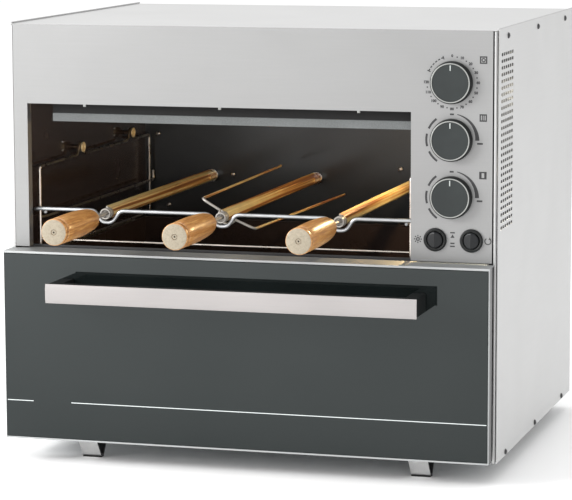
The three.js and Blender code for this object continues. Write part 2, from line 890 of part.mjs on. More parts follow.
// The pan's upper face runs on to the fascia, and a narrower tongue of it passes underneath.
const panShelf = [drawerTop - sheet, drawerTop];
const panTongue = { halfWidth: 280, back: 8 };
const drawerPan = join(
  panShell,
  block(-drawerHalfWidth, drawerHalfWidth, drawerBack - 2, -sheet, ...panShelf),
  block(-panTongue.halfWidth, panTongue.halfWidth, -sheet - 1, panTongue.back, ...panShelf),
);
add('drawer_pan', drawerPan, satinSteel);

const glass = block(
  -drawerHalfWidth + panLip.side + gap, drawerHalfWidth - panLip.side - gap,
  drawerFront + 0.1, glassBack - gap,
  drawerBottom + panLip.low + gap, drawerTop - panLip.high - gap,
);
add('drawer_glass', glass, smokedGlass);

const handleFront = drawerFront - handleReach;
const barBack = handleFront + 15;
const armBack = drawerFront - gap;
const handleBody = join(
  block(-handleHalfWidth, handleHalfWidth, handleFront, barBack, handleLow, handleHigh),
  block(-handleHalfWidth, -handleHalfWidth + 16, barBack - 1, armBack, handleLow, handleHigh),
  block(handleHalfWidth - 16, handleHalfWidth, barBack - 1, armBack, handleLow, handleHigh),
);
add('handle_body', handleBody, blackPlastic);

// The bright face of the handle is a plate whose front is slightly domed from top to bottom.
const stripSection = outline([
  [handleFront - gap, handleLow - 0.4],
  [handleFront - gap, handleHigh + 0.4],
  [handleFront - 1.2, handleHigh + 0.4],
  [handleFront - 2.2, (handleLow + handleHigh) / 2 + 6],
  [handleFront - 2.2, (handleLow + handleHigh) / 2 - 6],
  [handleFront - 1.2, handleLow - 0.4],
]);
add('handle_strip', prismAlongX(stripSection, -handleHalfWidth - 1, handleHalfWidth + 1), silverPaint);

// The drawer box is an open-topped steel box whose floor sticks out sideways over the runners.
const boxFront = drawerBack + gap;
const drawerBox = carve(
  join(
    block(-boxHalfWidth, boxHalfWidth, boxFront, boxBack, boxBottom, boxTop),
    block(-277, 277, 20, boxBack, boxBottom, boxBottom + sheet),
  ),
  block(
    -boxHalfWidth + sheet, boxHalfWidth - sheet,
    boxFront + sheet, boxBack - sheet,
    boxBottom + sheet, boxTop + 1,
  ),
);
add('drawer_box', drawerBox, blackEnamel);

const trayHalfWidth = 256;
const trayFront = 0;
const trayBack = 394;
const trayLow = boxBottom + sheet + gap;
const trayHigh = trayLow + 26;
const dripTray = carve(
  join(
    block(-trayHalfWidth, trayHalfWidth, trayFront, trayBack, trayLow, trayHigh),
    block(
      -trayHalfWidth - 6, trayHalfWidth + 6, trayFront - 6, trayBack + 6, trayHigh - sheet, trayHigh,
    ),
  ),
  block(
    -trayHalfWidth + sheet, trayHalfWidth - sheet,
    trayFront + sheet, trayBack - sheet,
    trayLow + sheet, trayHigh + 1,
  ),
);
add('drip_tray', dripTray, blackEnamel);

// ---- origin -----------------------------------------------------------------------------------

const rearMost = bodyDepth + glandReach;
oven.position.set(0, -(gripFront + rearMost) / 2, 0);

export default oven;
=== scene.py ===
import bmesh
import bpy
import json
import math
from mathutils import Matrix, Vector

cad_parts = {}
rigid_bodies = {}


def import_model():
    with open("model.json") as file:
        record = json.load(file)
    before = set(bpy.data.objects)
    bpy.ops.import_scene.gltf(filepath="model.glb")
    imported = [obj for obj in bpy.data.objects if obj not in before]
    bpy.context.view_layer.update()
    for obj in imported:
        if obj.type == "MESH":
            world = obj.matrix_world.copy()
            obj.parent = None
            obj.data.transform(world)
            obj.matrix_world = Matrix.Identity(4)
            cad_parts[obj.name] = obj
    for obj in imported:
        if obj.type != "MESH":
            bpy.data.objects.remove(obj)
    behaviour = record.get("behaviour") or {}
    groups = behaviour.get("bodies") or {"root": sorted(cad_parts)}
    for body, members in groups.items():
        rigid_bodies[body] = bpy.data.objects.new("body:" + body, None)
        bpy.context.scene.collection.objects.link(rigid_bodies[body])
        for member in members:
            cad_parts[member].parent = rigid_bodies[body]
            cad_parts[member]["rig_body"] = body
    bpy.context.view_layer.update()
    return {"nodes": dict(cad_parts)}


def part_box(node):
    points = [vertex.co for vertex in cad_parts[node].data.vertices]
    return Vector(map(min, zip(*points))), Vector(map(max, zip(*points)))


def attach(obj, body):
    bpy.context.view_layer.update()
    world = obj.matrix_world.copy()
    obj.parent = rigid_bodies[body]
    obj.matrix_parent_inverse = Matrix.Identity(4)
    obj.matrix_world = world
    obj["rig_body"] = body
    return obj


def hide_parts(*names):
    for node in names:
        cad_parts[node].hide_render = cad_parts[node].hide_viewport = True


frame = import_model()

# Looks of an electric barbecue oven: three turning skewers above a pull-out drawer.
# Sizes are millimetres; y is measured back from the front panel's plane.

NODES = frame["nodes"]
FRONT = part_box("front_fascia")[0].y
MM = 0.001


def at(x, y, z):
    """The point in metres that lies x, y, z millimetres from the middle of the front panel's foot."""
    return Vector((x * MM, FRONT + y * MM, z * MM))


def span(node):
    """The lowest and highest corner of a CAD node in millimetres, y from the front panel."""
    low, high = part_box(node)
    shift = Vector((0, FRONT, 0))
    return (low - shift) / MM, (high - shift) / MM


def middle(node):
    low, high = span(node)
    return (low + high) / 2


# ---- camera, light and floor --------------------------------------------------------------------

# The camera's azimuth, elevation and roll in degrees, its place in metres, its lens in millimetres.
CAMERA_ANGLES = (16.32, 8.10, 0.21)
CAMERA_PLACE = (0.9213, -3.1458, 0.7025)
CAMERA_LENS = 173.7
WORLD_STRENGTH = 1.08
# Area lights: place, target and size in metres, power in watts.
AREA_LIGHTS = {
    "key": ((-2.6, -2.2, 1.5), (-0.9, -1.0, 0.0), (1.6, 1.6), 150),
    "top": ((-0.4, 0.3, 3.2), (0, 0, 0.3), (2.4, 2.4), 30),
    "fill": ((0.5, -2.6, 0.5), (0, -0.3, 0), (2.0, 0.9), 6),
}
# Light in the space behind the right wall: place and radius in millimetres, power in watts.
COMPARTMENT_LIGHTS = {
    "compartment_glow": ((214, 345, 400), 16, 0.35),
    "compartment_fill": ((255, 250, 330), 25, 0.35),
}


def make_camera():
    azimuth, elevation, roll = (math.radians(a) for a in CAMERA_ANGLES)
    forward = Vector((
        -math.sin(azimuth) * math.cos(elevation),
        math.cos(azimuth) * math.cos(elevation),
        -math.sin(elevation),
    ))
    right = Vector((math.cos(azimuth), math.sin(azimuth), 0))
    turn = Matrix.Rotation(roll, 3, forward)
    right = turn @ right
    up = right.cross(forward)
    data = bpy.data.cameras.new("camera")
    data.sensor_width = 36
    data.lens = CAMERA_LENS
    data.clip_end = 200
    camera = bpy.data.objects.new("camera", data)
    axes = Matrix((right, up, -forward)).transposed().to_4x4()
    camera.matrix_world = Matrix.Translation(Vector(CAMERA_PLACE)) @ axes
    bpy.context.scene.collection.objects.link(camera)
    bpy.context.scene.camera = camera


def area_light(name, place, target, size, power):
    data = bpy.data.lights.new(name, "AREA")
    data.shape = "RECTANGLE"
    data.size, data.size_y = size
    data.energy = power
    lamp = bpy.data.objects.new(name, data)
    lamp.location = place
    lamp.rotation_euler = (Vector(target) - Vector(place)).to_track_quat("-Z", "Y").to_euler()
    bpy.context.scene.collection.objects.link(lamp)


def point_light(name, place, radius, power, colour):
    data = bpy.data.lights.new(name, "POINT")
    data.shadow_soft_size = radius * MM
    data.energy = power
    data.color = colour
    lamp = bpy.data.objects.new(name, data)
    lamp.location = place
    bpy.context.scene.collection.objects.link(lamp)


WARM = (1.0, 0.72, 0.38)
PALE = (1.0, 0.92, 0.74)


def make_studio():
    world = bpy.data.worlds.new("studio")
    world.use_nodes = True
    world.node_tree.nodes["Background"].inputs["Color"].default_value = (1, 1, 1, 1)
    world.node_tree.nodes["Background"].inputs["Strength"].default_value = WORLD_STRENGTH
    bpy.context.scene.world = world
    for name, settings in AREA_LIGHTS.items():
        area_light(name, *settings)
    bulb, standoff = middle("lamp_bulb"), 24
    point_light("oven_lamp", at(bulb.x - standoff, bulb.y, bulb.z), 7, 1.5, WARM)
    for name, (place, radius, power) in COMPARTMENT_LIGHTS.items():
        point_light(name, at(*place), radius, power, PALE)
    bpy.context.scene.view_settings.view_transform = "Standard"


# ---- materials ----------------------------------------------------------------------------------

class Look:
    """A node material: a Principled shader and the textures that vary its colour, gloss and relief."""

    def __init__(self, name, colour, roughness, metallic=0.0, **constants):
        self.material = bpy.data.materials.new(name)
        self.material.use_nodes = True
        self.tree = self.material.node_tree
        self.shader = self.tree.nodes["Principled BSDF"]
        self.shader.inputs["Base Color"].default_value = (*colour, 1)
        self.shader.inputs["Roughness"].default_value = roughness
        self.shader.inputs["Metallic"].default_value = metallic
        for socket, value in constants.items():
            self.shader.inputs[socket.replace("_", " ")].default_value = value
        self.place = self.add("ShaderNodeTexCoord").outputs["Object"]

    def add(self, kind, **inputs):
        node = self.tree.nodes.new(kind)
        for socket, value in inputs.items():
            self.feed(node.inputs[socket.replace("_", " ")], value)
        return node

    def feed(self, socket, value):
        if isinstance(value, bpy.types.NodeSocket):
            self.tree.links.new(value, socket)
        else:
            socket.default_value = value

    def scaled(self, x, y, z):
        """Object coordinates stretched so that one texture cell is x by y by z millimetres."""
        sizes = (1 / (x * MM), 1 / (y * MM), 1 / (z * MM))
        return self.add("ShaderNodeMapping", Vector=self.place, Scale=sizes).outputs["Vector"]

    def noise(self, cell, detail=3.0, distortion=0.0):
        return self.add(
            "ShaderNodeTexNoise", Vector=self.scaled(*cell), Scale=1.0, Detail=detail,
            Distortion=distortion,
        ).outputs["Fac"]

    def cells(self, cell):
        return self.add("ShaderNodeTexVoronoi", Vector=self.scaled(*cell), Scale=1.0).outputs["Color"]

    def ramp(self, factor, stops):
        node = self.add("ShaderNodeValToRGB", Fac=factor)
        elements = node.color_ramp.elements
        while len(elements) < len(stops):
            elements.new(0.5)
        for element, (position, colour) in zip(elements, stops):
            element.position = position
            element.color = (*colour, 1)
        return node.outputs["Color"]

    def mix(self, factor, a, b, how="MIX"):
        node = self.tree.nodes.new("ShaderNodeMix")
        node.data_type = "RGBA"
        node.blend_type = how
        self.feed(node.inputs["Factor"], factor)
        self.feed(node.inputs[6], a)
        self.feed(node.inputs[7], b)
        return node.outputs[2]

    def colour(self, value):
        self.feed(self.shader.inputs["Base Color"], value)
        return self

    def gloss(self, factor, low, high):
        """Roughness that runs from low to high with a texture."""
        node = self.add("ShaderNodeMapRange", Value=factor, To_Min=low, To_Max=high)
        self.feed(self.shader.inputs["Roughness"], node.outputs["Result"])
        return self

    def relief(self, height, depth, strength=1.0):
        """Bump of the given depth in millimetres."""
        last = self.shader.inputs["Normal"]
        before = last.links[0].from_socket if last.links else None
        node = self.add("ShaderNodeBump", Height=height, Distance=depth * MM, Strength=strength)
        if before:
            self.feed(node.inputs["Normal"], before)
        self.feed(last, node.outputs["Normal"])
        return self


def grey(value, tint=(1, 1, 1)):
    return tuple(value * t for t in tint)


def steel(name, tone, rough, grain, tint=(1.0, 1.0, 0.995), metal=0.9):
    """Satin steel: fine grain in one direction, faint clouding and a few soft smears."""
    look = Look(name, grey(tone, tint), rough, metal)
    fine = look.noise(grain, 4.0)
    cloud = look.noise((130, 130, 130), 2.0, 0.6)
    light, dark = grey(tone * 1.02, tint), grey(tone * 0.97, tint)
    shade = look.ramp(cloud, [(0.3, dark), (0.7, light)])
    streak = look.ramp(fine, [(0.35, grey(0.975)), (0.65, grey(1.0))])
    look.colour(look.mix(1.0, shade, streak, "MULTIPLY"))
    look.gloss(cloud, rough - 0.03, rough + 0.04)
    return look.relief(fine, 0.004, 0.25).material


def galvanised_steel():
    look = Look("galvanised_steel", grey(0.55), 0.45, 1.0)
    spangle = look.cells((9, 9, 9))
    tone = look.add("ShaderNodeRGBToBW", Color=spangle).outputs["Val"]
    look.colour(look.ramp(tone, [(0.2, (0.46, 0.48, 0.49)), (0.8, (0.54, 0.56, 0.57))]))
    look.gloss(tone, 0.40, 0.52)
    return look.relief(look.noise((1.5, 1.5, 1.5)), 0.02, 0.3).material


def painted(name, colour, rough, peel=1.2):
    """Painted or enamelled steel with a slight orange-peel surface and specks."""
    look = Look(name, colour, rough, 0.0, Coat_Weight=0.4, Coat_Roughness=rough * 0.6)
    speck = look.noise((0.8, 0.8, 0.8), 2.0)
    cloud = look.noise((60, 60, 60), 3.0)
    dark, light = tuple(c * 0.75 for c in colour), tuple(min(c * 1.35, 1) for c in colour)
    clouded = look.ramp(cloud, [(0.3, dark), (0.7, light)])
    specked = look.ramp(speck, [(0.4, dark), (0.6, light)])
    look.colour(look.mix(0.5, clouded, specked))
    look.gloss(cloud, rough * 0.8, rough * 1.3)
    return look.relief(look.noise((peel * 2, peel * 2, peel * 2), 1.0), 0.02, 0.3).material


def polished_wire(name, colour, rough):
    """Plated wire with drawing lines and a little smearing."""
    look = Look(name, colour, rough, 1.0)
    smear = look.noise((14, 14, 14), 3.0)
    look.colour(look.ramp(smear, [(0.3, tuple(c * 0.86 for c in colour)), (0.7, colour)]))
    look.gloss(smear, rough * 0.7, rough * 1.6)
    return look.relief(look.noise((0.7, 0.7, 0.7), 2.0), 0.006, 0.3).material


def skewer_metal(name, near, far):
    """Skewer steel with painted gold stripes: a painted reflection of the oven's warm glow, with painted
    highlight lines along the blade. The stripes fade in between the depths near and far.
    """
    look = Look(name, (0.72, 0.42, 0.16), 0.4, 0.35)
    drawn = look.noise((0.5, 90, 0.5), 3.0)
    glow_stripe_noise = look.noise((3.2, 400, 3.2), 1.0)
    glow_patches = look.noise((40, 75, 40), 3.0, 1.0)
    # Painted reflection and highlight: these gold, amber and brown stripes stand for the warm glow
    # mirrored in the steel.
    brown, amber, straw = (0.38, 0.15, 0.05), (0.86, 0.46, 0.15), (1.0, 0.82, 0.42)
    painted_glow_stripes = look.ramp(glow_stripe_noise, [(0.38, brown), (0.47, amber), (0.56, straw)])
    warm = look.ramp(glow_patches, [(0.3, (0.82, 0.80, 0.78)), (0.6, (1.0, 1.0, 1.0))])
    line = look.ramp(drawn, [(0.35, grey(0.82)), (0.65, grey(1.0))])
    tinted = look.mix(1.0, look.mix(1.0, painted_glow_stripes, warm, "MULTIPLY"), line, "MULTIPLY")
    depth = look.add("ShaderNodeSeparateXYZ", Vector=look.place).outputs["Y"]
    fade = look.add(
        "ShaderNodeMapRange", Value=depth, From_Min=at(0, near, 0).y, From_Max=at(0, far, 0).y
    ).outputs["Result"]
    look.colour(look.mix(fade, (0.36, 0.34, 0.31, 1), tinted))
    look.gloss(drawn, 0.26, 0.44)
    return look.relief(drawn, 0.015, 0.3).material


def heater_oxide():
    look = Look("heater_oxide", (0.10, 0.085, 0.075), 0.55, 0.6)
    scale = look.noise((5, 5, 5), 5.0)
    look.colour(look.ramp(scale, [(0.3, (0.06, 0.05, 0.045)), (0.7, (0.17, 0.14, 0.12))]))
    look.gloss(scale, 0.4, 0.7)
    return look.relief(scale, 0.05, 0.5).material


def plastic(name, colour, rough, grain=0.5):
    """Moulded plastic with a fine spark-eroded grain."""
    look = Look(name, colour, rough, Specular_IOR_Level=0.3)
    fine = look.noise((grain, grain, grain), 2.0)
    cloud = look.noise((25, 25, 25), 2.0)
    low, high = tuple(c * 0.88 for c in colour), tuple(min(c * 1.12, 1) for c in colour)
    look.colour(look.ramp(cloud, [(0.3, low), (0.7, high)]))
    look.gloss(fine, rough - 0.05, rough + 0.06)
    return look.relief(fine, 0.015, 0.4).material


def turned_wood(name, dark, mid, light, rough):
    """Turned wood: long grain along the grip, pores and fine tool rings across it."""
    look = Look(name, mid, rough, 0.0, Coat_Weight=0.3, Coat_Roughness=0.25)
    grain = look.noise((2.2, 42, 2.2), 5.0, 0.8)
    pores = look.noise((0.5, 6.0, 0.5), 2.0)
    rings = look.noise((400, 0.9, 400), 2.0)
    body = look.ramp(grain, [(0.28, dark), (0.5, mid), (0.72, light)])
    pore = look.ramp(pores, [(0.33, grey(0.72)), (0.42, grey(1.0))])
    ring = look.ramp(rings, [(0.35, grey(0.88)), (0.6, grey(1.0))])
    look.colour(look.mix(1.0, look.mix(1.0, body, pore, "MULTIPLY"), ring, "MULTIPLY"))
    look.gloss(grain, rough - 0.06, rough + 0.1)
    look.relief(rings, 0.05, 0.4)
    return look.relief(pores, 0.03, 0.3).material


def smoked_glass():
    look = Look(
        "smoked_glass", (0.006, 0.008, 0.008), 0.04, IOR=1.43, Coat_Weight=0.05, Coat_Roughness=0.03,
    )
    look.shader.inputs["Specular Tint"].default_value = (0.92, 1.0, 1.0, 1)
    cloud = look.noise((160, 160, 160), 2.0)
    look.colour(look.ramp(cloud, [(0.3, (0.005, 0.007, 0.007)), (0.7, (0.008, 0.010, 0.010))]))
    look.gloss(look.noise((18, 18, 18), 3.0), 0.02, 0.05)
    return look.relief(look.noise((90, 90, 90), 1.0), 0.02, 0.1).material


def lamp_glass():
    look = Look("lamp_glass", (1.0, 0.85, 0.6), 0.15, 0.0, Emission_Strength=8.0)
    frost = look.noise((2, 2, 2), 2.0)
    glow = look.ramp(frost, [(0.3, (1.0, 0.62, 0.26)), (0.7, (1.0, 0.74, 0.40))])
    look.feed(look.shader.inputs["Emission Color"], glow)
    look.gloss(frost, 0.1, 0.25)
    return look.material


def ink(name, colour):
    look = Look(name, colour, 0.5)
    wear = look.noise((0.6, 0.6, 0.6), 3.0)
    worn = tuple(c * 0.85 + 0.02 for c in colour)
    look.colour(look.ramp(wear, [(0.3, colour), (0.75, worn)]))
    return look.gloss(wear, 0.42, 0.6).material


def floor_paper():
    look = Look("floor_paper", grey(0.96), 0.85)
    fibre = look.noise((900, 900, 900), 3.0)
    look.colour(look.ramp(fibre, [(0.3, grey(0.955)), (0.7, grey(0.97))]))
    return look.material


FASCIA_STEEL = steel("fascia_steel", 0.275, 0.52, (60, 3, 0.5))
SIDE_STEEL = steel("side_steel", 0.58, 0.5, (3, 60, 0.6))
TOP_STEEL = steel("top_steel", 0.51, 0.4, (0.6, 70, 3))
DRAWER_STEEL = steel("drawer_steel", 0.40, 0.5, (60, 3, 0.5), (0.97, 1.0, 1.0))
TRIM_STEEL = steel("trim_steel", 0.46, 0.42, (3, 3, 60))
FOOT_STEEL = steel("foot_steel", 0.72, 0.4, (3, 3, 60))
GALVANISED = galvanised_steel()
BLACK_PAINT = painted("black_paint", (0.010, 0.010, 0.011), 0.5)
WALL_ENAMEL = painted("wall_enamel", (0.030, 0.020, 0.018), 0.24)
BACK_ENAMEL = painted("back_enamel", (0.007, 0.007, 0.007), 0.32)
LIP_ENAMEL = painted("lip_enamel", (0.085, 0.092, 0.092), 0.4)
CHROME = polished_wire("chrome", (0.80, 0.80, 0.79), 0.12)
BAR_CHROME = polished_wire("bar_chrome", (0.46, 0.47, 0.48), 0.36)
RACK_CHROME = polished_wire("rack_chrome", (0.66, 0.60, 0.54), 0.25)
BRASS_PIN = steel("pin_metal", 0.92, 0.42, (3, 3, 3), (1.0, 0.80, 0.46), 0.35)
DARK_STEM = polished_wire("dark_stem", (0.20, 0.14, 0.10), 0.35)
SKEWER_METAL = skewer_metal("skewer_metal", 20, 26)
FORK_METAL = skewer_metal("fork_metal", 38, 52)
HEATER_OXIDE = heater_oxide()
KNOB_FACE = plastic("knob_face", (0.016, 0.020, 0.020), 0.5)
BLACK_PLASTIC = plastic("black_plastic", (0.004, 0.005, 0.005), 0.5)
BUTTON_PLASTIC = plastic("button_plastic", (0.006, 0.007, 0.008), 0.4)
# Black standing in for shade: painted shade on the roof reflector above its lip.
SKIRT_PAINTED_SHADE = plastic("skirt_painted_shade", (0.006, 0.006, 0.006), 0.7, 1.5)
WHITE_PLASTIC = plastic("white_plastic", (0.62, 0.60, 0.54), 0.45)
NYLON = plastic("nylon", (0.70, 0.68, 0.60), 0.42)
RUBBER = plastic("rubber", (0.016, 0.016, 0.016), 0.7)
WOOD_SIDE = turned_wood("wood_side", (0.28, 0.11, 0.028), (0.46, 0.21, 0.06), (0.64, 0.37, 0.13), 0.36)
WOOD_END = turned_wood("wood_end", (0.21, 0.175, 0.12), (0.27, 0.23, 0.165), (0.31, 0.265, 0.195), 0.6)
SMOKED_GLASS = smoked_glass()
LAMP_GLASS = lamp_glass()
HANDLE_SILVER = steel("handle_silver", 0.325, 0.5, (80, 3, 0.7), (1.0, 0.95, 0.935), 0.5)
RING_GREY = steel("ring_grey", 0.07, 0.4, (3, 3, 3), (0.98, 1.0, 0.96))
RING_SILVER = steel("ring_silver", 0.30, 0.35, (3, 3, 3), (0.98, 1.0, 0.96))
BLACK_INK = ink("black_ink", (0.006, 0.006, 0.007))
WHITE_INK = ink("white_ink", (0.62, 0.66, 0.66))
POINTER_INK = ink("pointer_ink", (0.42, 0.45, 0.44))


# ---- mesh helpers -------------------------------------------------------------------------------

def publish(bm, name, body, material, replaces=(), smooth=35):
    """Turns mesh code's result into a piece that rides on a body."""
    bmesh.ops.recalc_face_normals(bm, faces=bm.faces)
    mesh = bpy.data.meshes.new(name)
    bm.to_mesh(mesh)
    bm.free()
    mesh.polygons.foreach_set("use_smooth", [True] * len(mesh.polygons))
    mesh.set_sharp_from_angle(angle=math.radians(smooth))
    for one in material if isinstance(material, (list, tuple)) else (material,):
        mesh.materials.append(one)
    obj = bpy.data.objects.new(name, mesh)
    bpy.context.scene.collection.objects.link(obj)
    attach(obj, body)
    if replaces:
        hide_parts(*replaces)
    return obj


def formed(node, material, edge=0.25, segments=2, smooth=35):
    """A CAD node with its flat faces merged and its sharp edges rounded."""
    bm = bmesh.new()
    bm.from_mesh(NODES[node].data)
    bmesh.ops.remove_doubles(bm, verts=bm.verts, dist=1e-6)
    bmesh.ops.dissolve_limit(
        bm, angle_limit=math.radians(0.5), verts=bm.verts, edges=bm.edges
    )
    sharp = [
        e for e in bm.edges if len(e.link_faces) == 2 and e.calc_face_angle() > math.radians(30)
    ]
    bmesh.ops.bevel(
        bm, geom=sharp, offset=edge * MM, segments=segments, profile=0.5,
        affect="EDGES", clamp_overlap=True,
    )
    body = NODES[node]["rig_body"]
    obj = publish(bm, f"{node}_formed", body, material, (node,), smooth)
    even = obj.modifiers.new("even_normals", "WEIGHTED_NORMAL")
    even.weight = 100
    even.keep_sharp = True
    return obj


def rounded(corners, bend, steps=8, closed=False):
    """A bent line whose corners are short arcs that start bend away from each corner."""
    points = [Vector(c) for c in corners]
    count = len(points)
    route = [] if closed else [points[0]]
    for i in range(0 if closed else 1, count if closed else count - 1):
        corner = points[i]
        back, onward = points[i - 1] - corner, points[(i + 1) % count] - corner
        start = corner + back.normalized() * min(bend, back.length * 0.49)
        end = corner + onward.normalized() * min(bend, onward.length * 0.49)
        for step in range(steps + 1):
            t = step / steps
            route.append(start * (1 - t) ** 2 + corner * 2 * t * (1 - t) + end * t * t)
    return route if closed else route + [points[-1]]


def circle(count):
    """The angles of count points spread evenly round a circle."""
    return [math.tau * k / count for k in range(count)]


def skin(bm, a, b, shift=0):
    """Faces between two loops that have the same number of points."""
    count = len(a)
    for k in range(count):
        n = (k + 1) % count
        bm.faces.new((a[k], a[n], b[(n + shift) % count], b[(k + shift) % count]))


def tube(bm, route, radius, sides=16, closed=False, point=0.0):
    """Round wire along a route in millimetres. point is the length of a ground tip at its end."""
    places = [at(*p) for p in route]
    count = len(places)
    normal, rings = None, []
    for i, here in enumerate(places):
        before = places[i - 1] if closed or i else here
        after = places[(i + 1) % count] if closed or i < count - 1 else here
        along = (after - before).normalized()
        normal = along.orthogonal() if normal is None else normal
        normal = (normal - normal.dot(along) * along).normalized()
        across = along.cross(normal)
        rings.append((here, along, normal, across))

    def ring(place, u, v, size):
        return [
            bm.verts.new(place + (u * math.cos(a) + v * math.sin(a)) * size) for a in circle(sides)
        ]

    r = radius * MM
    loops = [ring(p, u, v, r) for p, _, u, v in rings]
    for a, b in zip(loops, loops[1:]):
        skin(bm, a, b)
    if closed:
        nearest = min(range(sides), key=lambda k: (loops[0][k].co - loops[-1][0].co).length)
        skin(bm, loops[-1], loops[0], nearest)
        return
    for end, sign in ((0, -1), (-1, 1)):
        place, along, u, v = rings[end]
        reach = point * MM if point and sign > 0 else 0.35 * r
        size = 0.12 if point and sign > 0 else 0.62
        cap = ring(place + along * reach * sign, u, v, r * size)
        skin(bm, loops[end], cap)
        bm.faces.new(cap)


def turned(bm, profile, x, z, segments=96):
    """A shape turned about an axis along Y through (x, z). The profile holds (radius, y) pairs."""
    rings = []
    for radius, y in profile:
        if radius <= 0:
            rings.append([bm.verts.new(at(x, y, z))])
            continue
        rings.append([
            bm.verts.new(at(x + radius * math.cos(a), y, z + radius * math.sin(a)))
            for a in circle(segments)
        ])
    for a, b in zip(rings, rings[1:]):
        for k in range(segments):
            n = (k + 1) % segments
            corners = [a[0]] if len(a) == 1 else [a[k], a[n]]
            corners += [b[0]] if len(b) == 1 else [b[n], b[k]]
            if len(corners) > 2:
                bm.faces.new(corners)
    if len(rings[0]) > 1 and profile[0] == profile[-1]:
        bmesh.ops.remove_doubles(bm, verts=rings[0] + rings[-1], dist=1e-7)


def prism(bm, outline, low, high, place):
    """A closed outline given depth. place(u, v, w) turns outline coordinates into a point."""
    front = [bm.verts.new(place(u, v, low)) for u, v in outline]
    back = [bm.verts.new(place(u, v, high)) for u, v in outline]
    bm.faces.new(front)
    bm.faces.new(back[::-1])
    skin(bm, front, back)


def facing_front(u, v, w):
    return at(u, w, v)


def facing_side(u, v, w):
    return at(w, u, v)


def facing_up(u, v, w):
    return at(u, v, w)


def rounded_block(bm, low, high, radius, segments=3):
    """A block between two corners in millimetres with rounded edges."""
    x0, y0, z0 = low
    x1, y1, z1 = high
    before = set(bm.verts)
    prism(bm, [(x0, z0), (x1, z0), (x1, z1), (x0, z1)], y0, y1, facing_front)
    new = [v for v in bm.verts if v not in before]
    edges = list({e for v in new for e in v.link_edges})
    bmesh.ops.bevel(
        bm, geom=edges, offset=radius * MM, segments=segments, profile=0.5, affect="EDGES"
    )


def plate(bm, outline, holes, low, high, place):
    """A flat sheet with holes, given thickness. All loops are closed lists of (u, v)."""
    flat = bmesh.new()
    loops = []
    for loop in (outline, *holes):
        verts = [flat.verts.new((u, v, 0)) for u, v in loop]
        loops.append(verts)
        for k in range(len(verts)):
            flat.edges.new((verts[k], verts[(k + 1) % len(verts)]))
    bmesh.ops.triangle_fill(flat, use_beauty=True, edges=flat.edges[:], normal=(0, 0, 1))
    flat.verts.index_update()
    front = [bm.verts.new(place(v.co.x, v.co.y, low)) for v in flat.verts]
    back = [bm.verts.new(place(v.co.x, v.co.y, high)) for v in flat.verts]
    for face in flat.faces:
        indices = [v.index for v in face.verts]
        bm.faces.new([front[i] for i in indices])
        bm.faces.new([back[i] for i in reversed(indices)])
    for verts in loops:
        for k in range(len(verts)):
            a, b = verts[k].index, verts[(k + 1) % len(verts)].index
            bm.faces.new((front[a], front[b], back[b], back[a]))
    flat.free()


def obround(u, v, length, height, steps=6):
    """A slot with round ends, centred on (u, v)."""
    r = height / 2
    reach = length / 2 - r
    loop = []
    for side in (1, -1):
        for k in range(steps + 1):
            angle = math.pi * (k / steps - 0.5)
            loop.append((u + side * (reach + r * math.cos(angle)), v + side * r * math.sin(angle)))
    return loop


def screw_head(bm, place, out, across, radius=3.4, height=2.2, recess=0.9):
    """A domed screw head with a cross recess. out and across are unit vectors."""
    along = out.cross(across)
    turns = 24
    rings = [(1.0, 0.0), (1.0, 0.25), (0.86, 0.62), (0.6, 0.86), (0.42, 0.95)]
    loops = []
    for share, rise in rings:
        loop = []
        for a in circle(turns):
            offset = (across * math.cos(a) + along * math.sin(a)) * radius * share * MM
            loop.append(bm.verts.new(place + offset + out * height * rise * MM))
        loops.append(loop)
    cross = []
    for a in circle(turns):
        arm = max(abs(math.cos(a)), abs(math.sin(a))) ** 6
        size = radius * (0.14 + 0.26 * arm)
        cross.append((across * math.cos(a) + along * math.sin(a)) * size * MM)
    top = place + out * (height * 0.95) * MM
    low = place + out * (height - recess) * MM
    loops.append([bm.verts.new(top + offset) for offset in cross])
    loops.append([bm.verts.new(low + offset * 0.8) for offset in cross])
    for a, b in zip(loops, loops[1:]):
        skin(bm, a, b)
    bm.faces.new(loops[-1])
    bm.faces.new(loops[0][::-1])


X, Y, Z = Vector((1, 0, 0)), Vector((0, 1, 0)), Vector((0, 0, 1))


# ---- casing -------------------------------------------------------------------------------------

VENT_ROWS, VENT_PITCH, VENT_TOP = 27, 7.5, 484
VENT_COLUMNS, VENT_FRONT, VENT_STEP = 6, 25.5, 11.2
VENT_HOLE = (9.0, 3.9)
SIDE_SCREWS = [(y, z) for z in (503.5, 26.5) for y in (56, 228, 400)]
BACK_SCREW_INSET, BACK_SCREW_RISE, BACK_SCREW_X = 14, 12, 95
SHEET = 0.8
FOLD_WIDTH, FOLD_FRONT, FOLD_BACK = 9.8, 20, 458
HEM_RADIUS, HEM_INSET = 0.75, 30


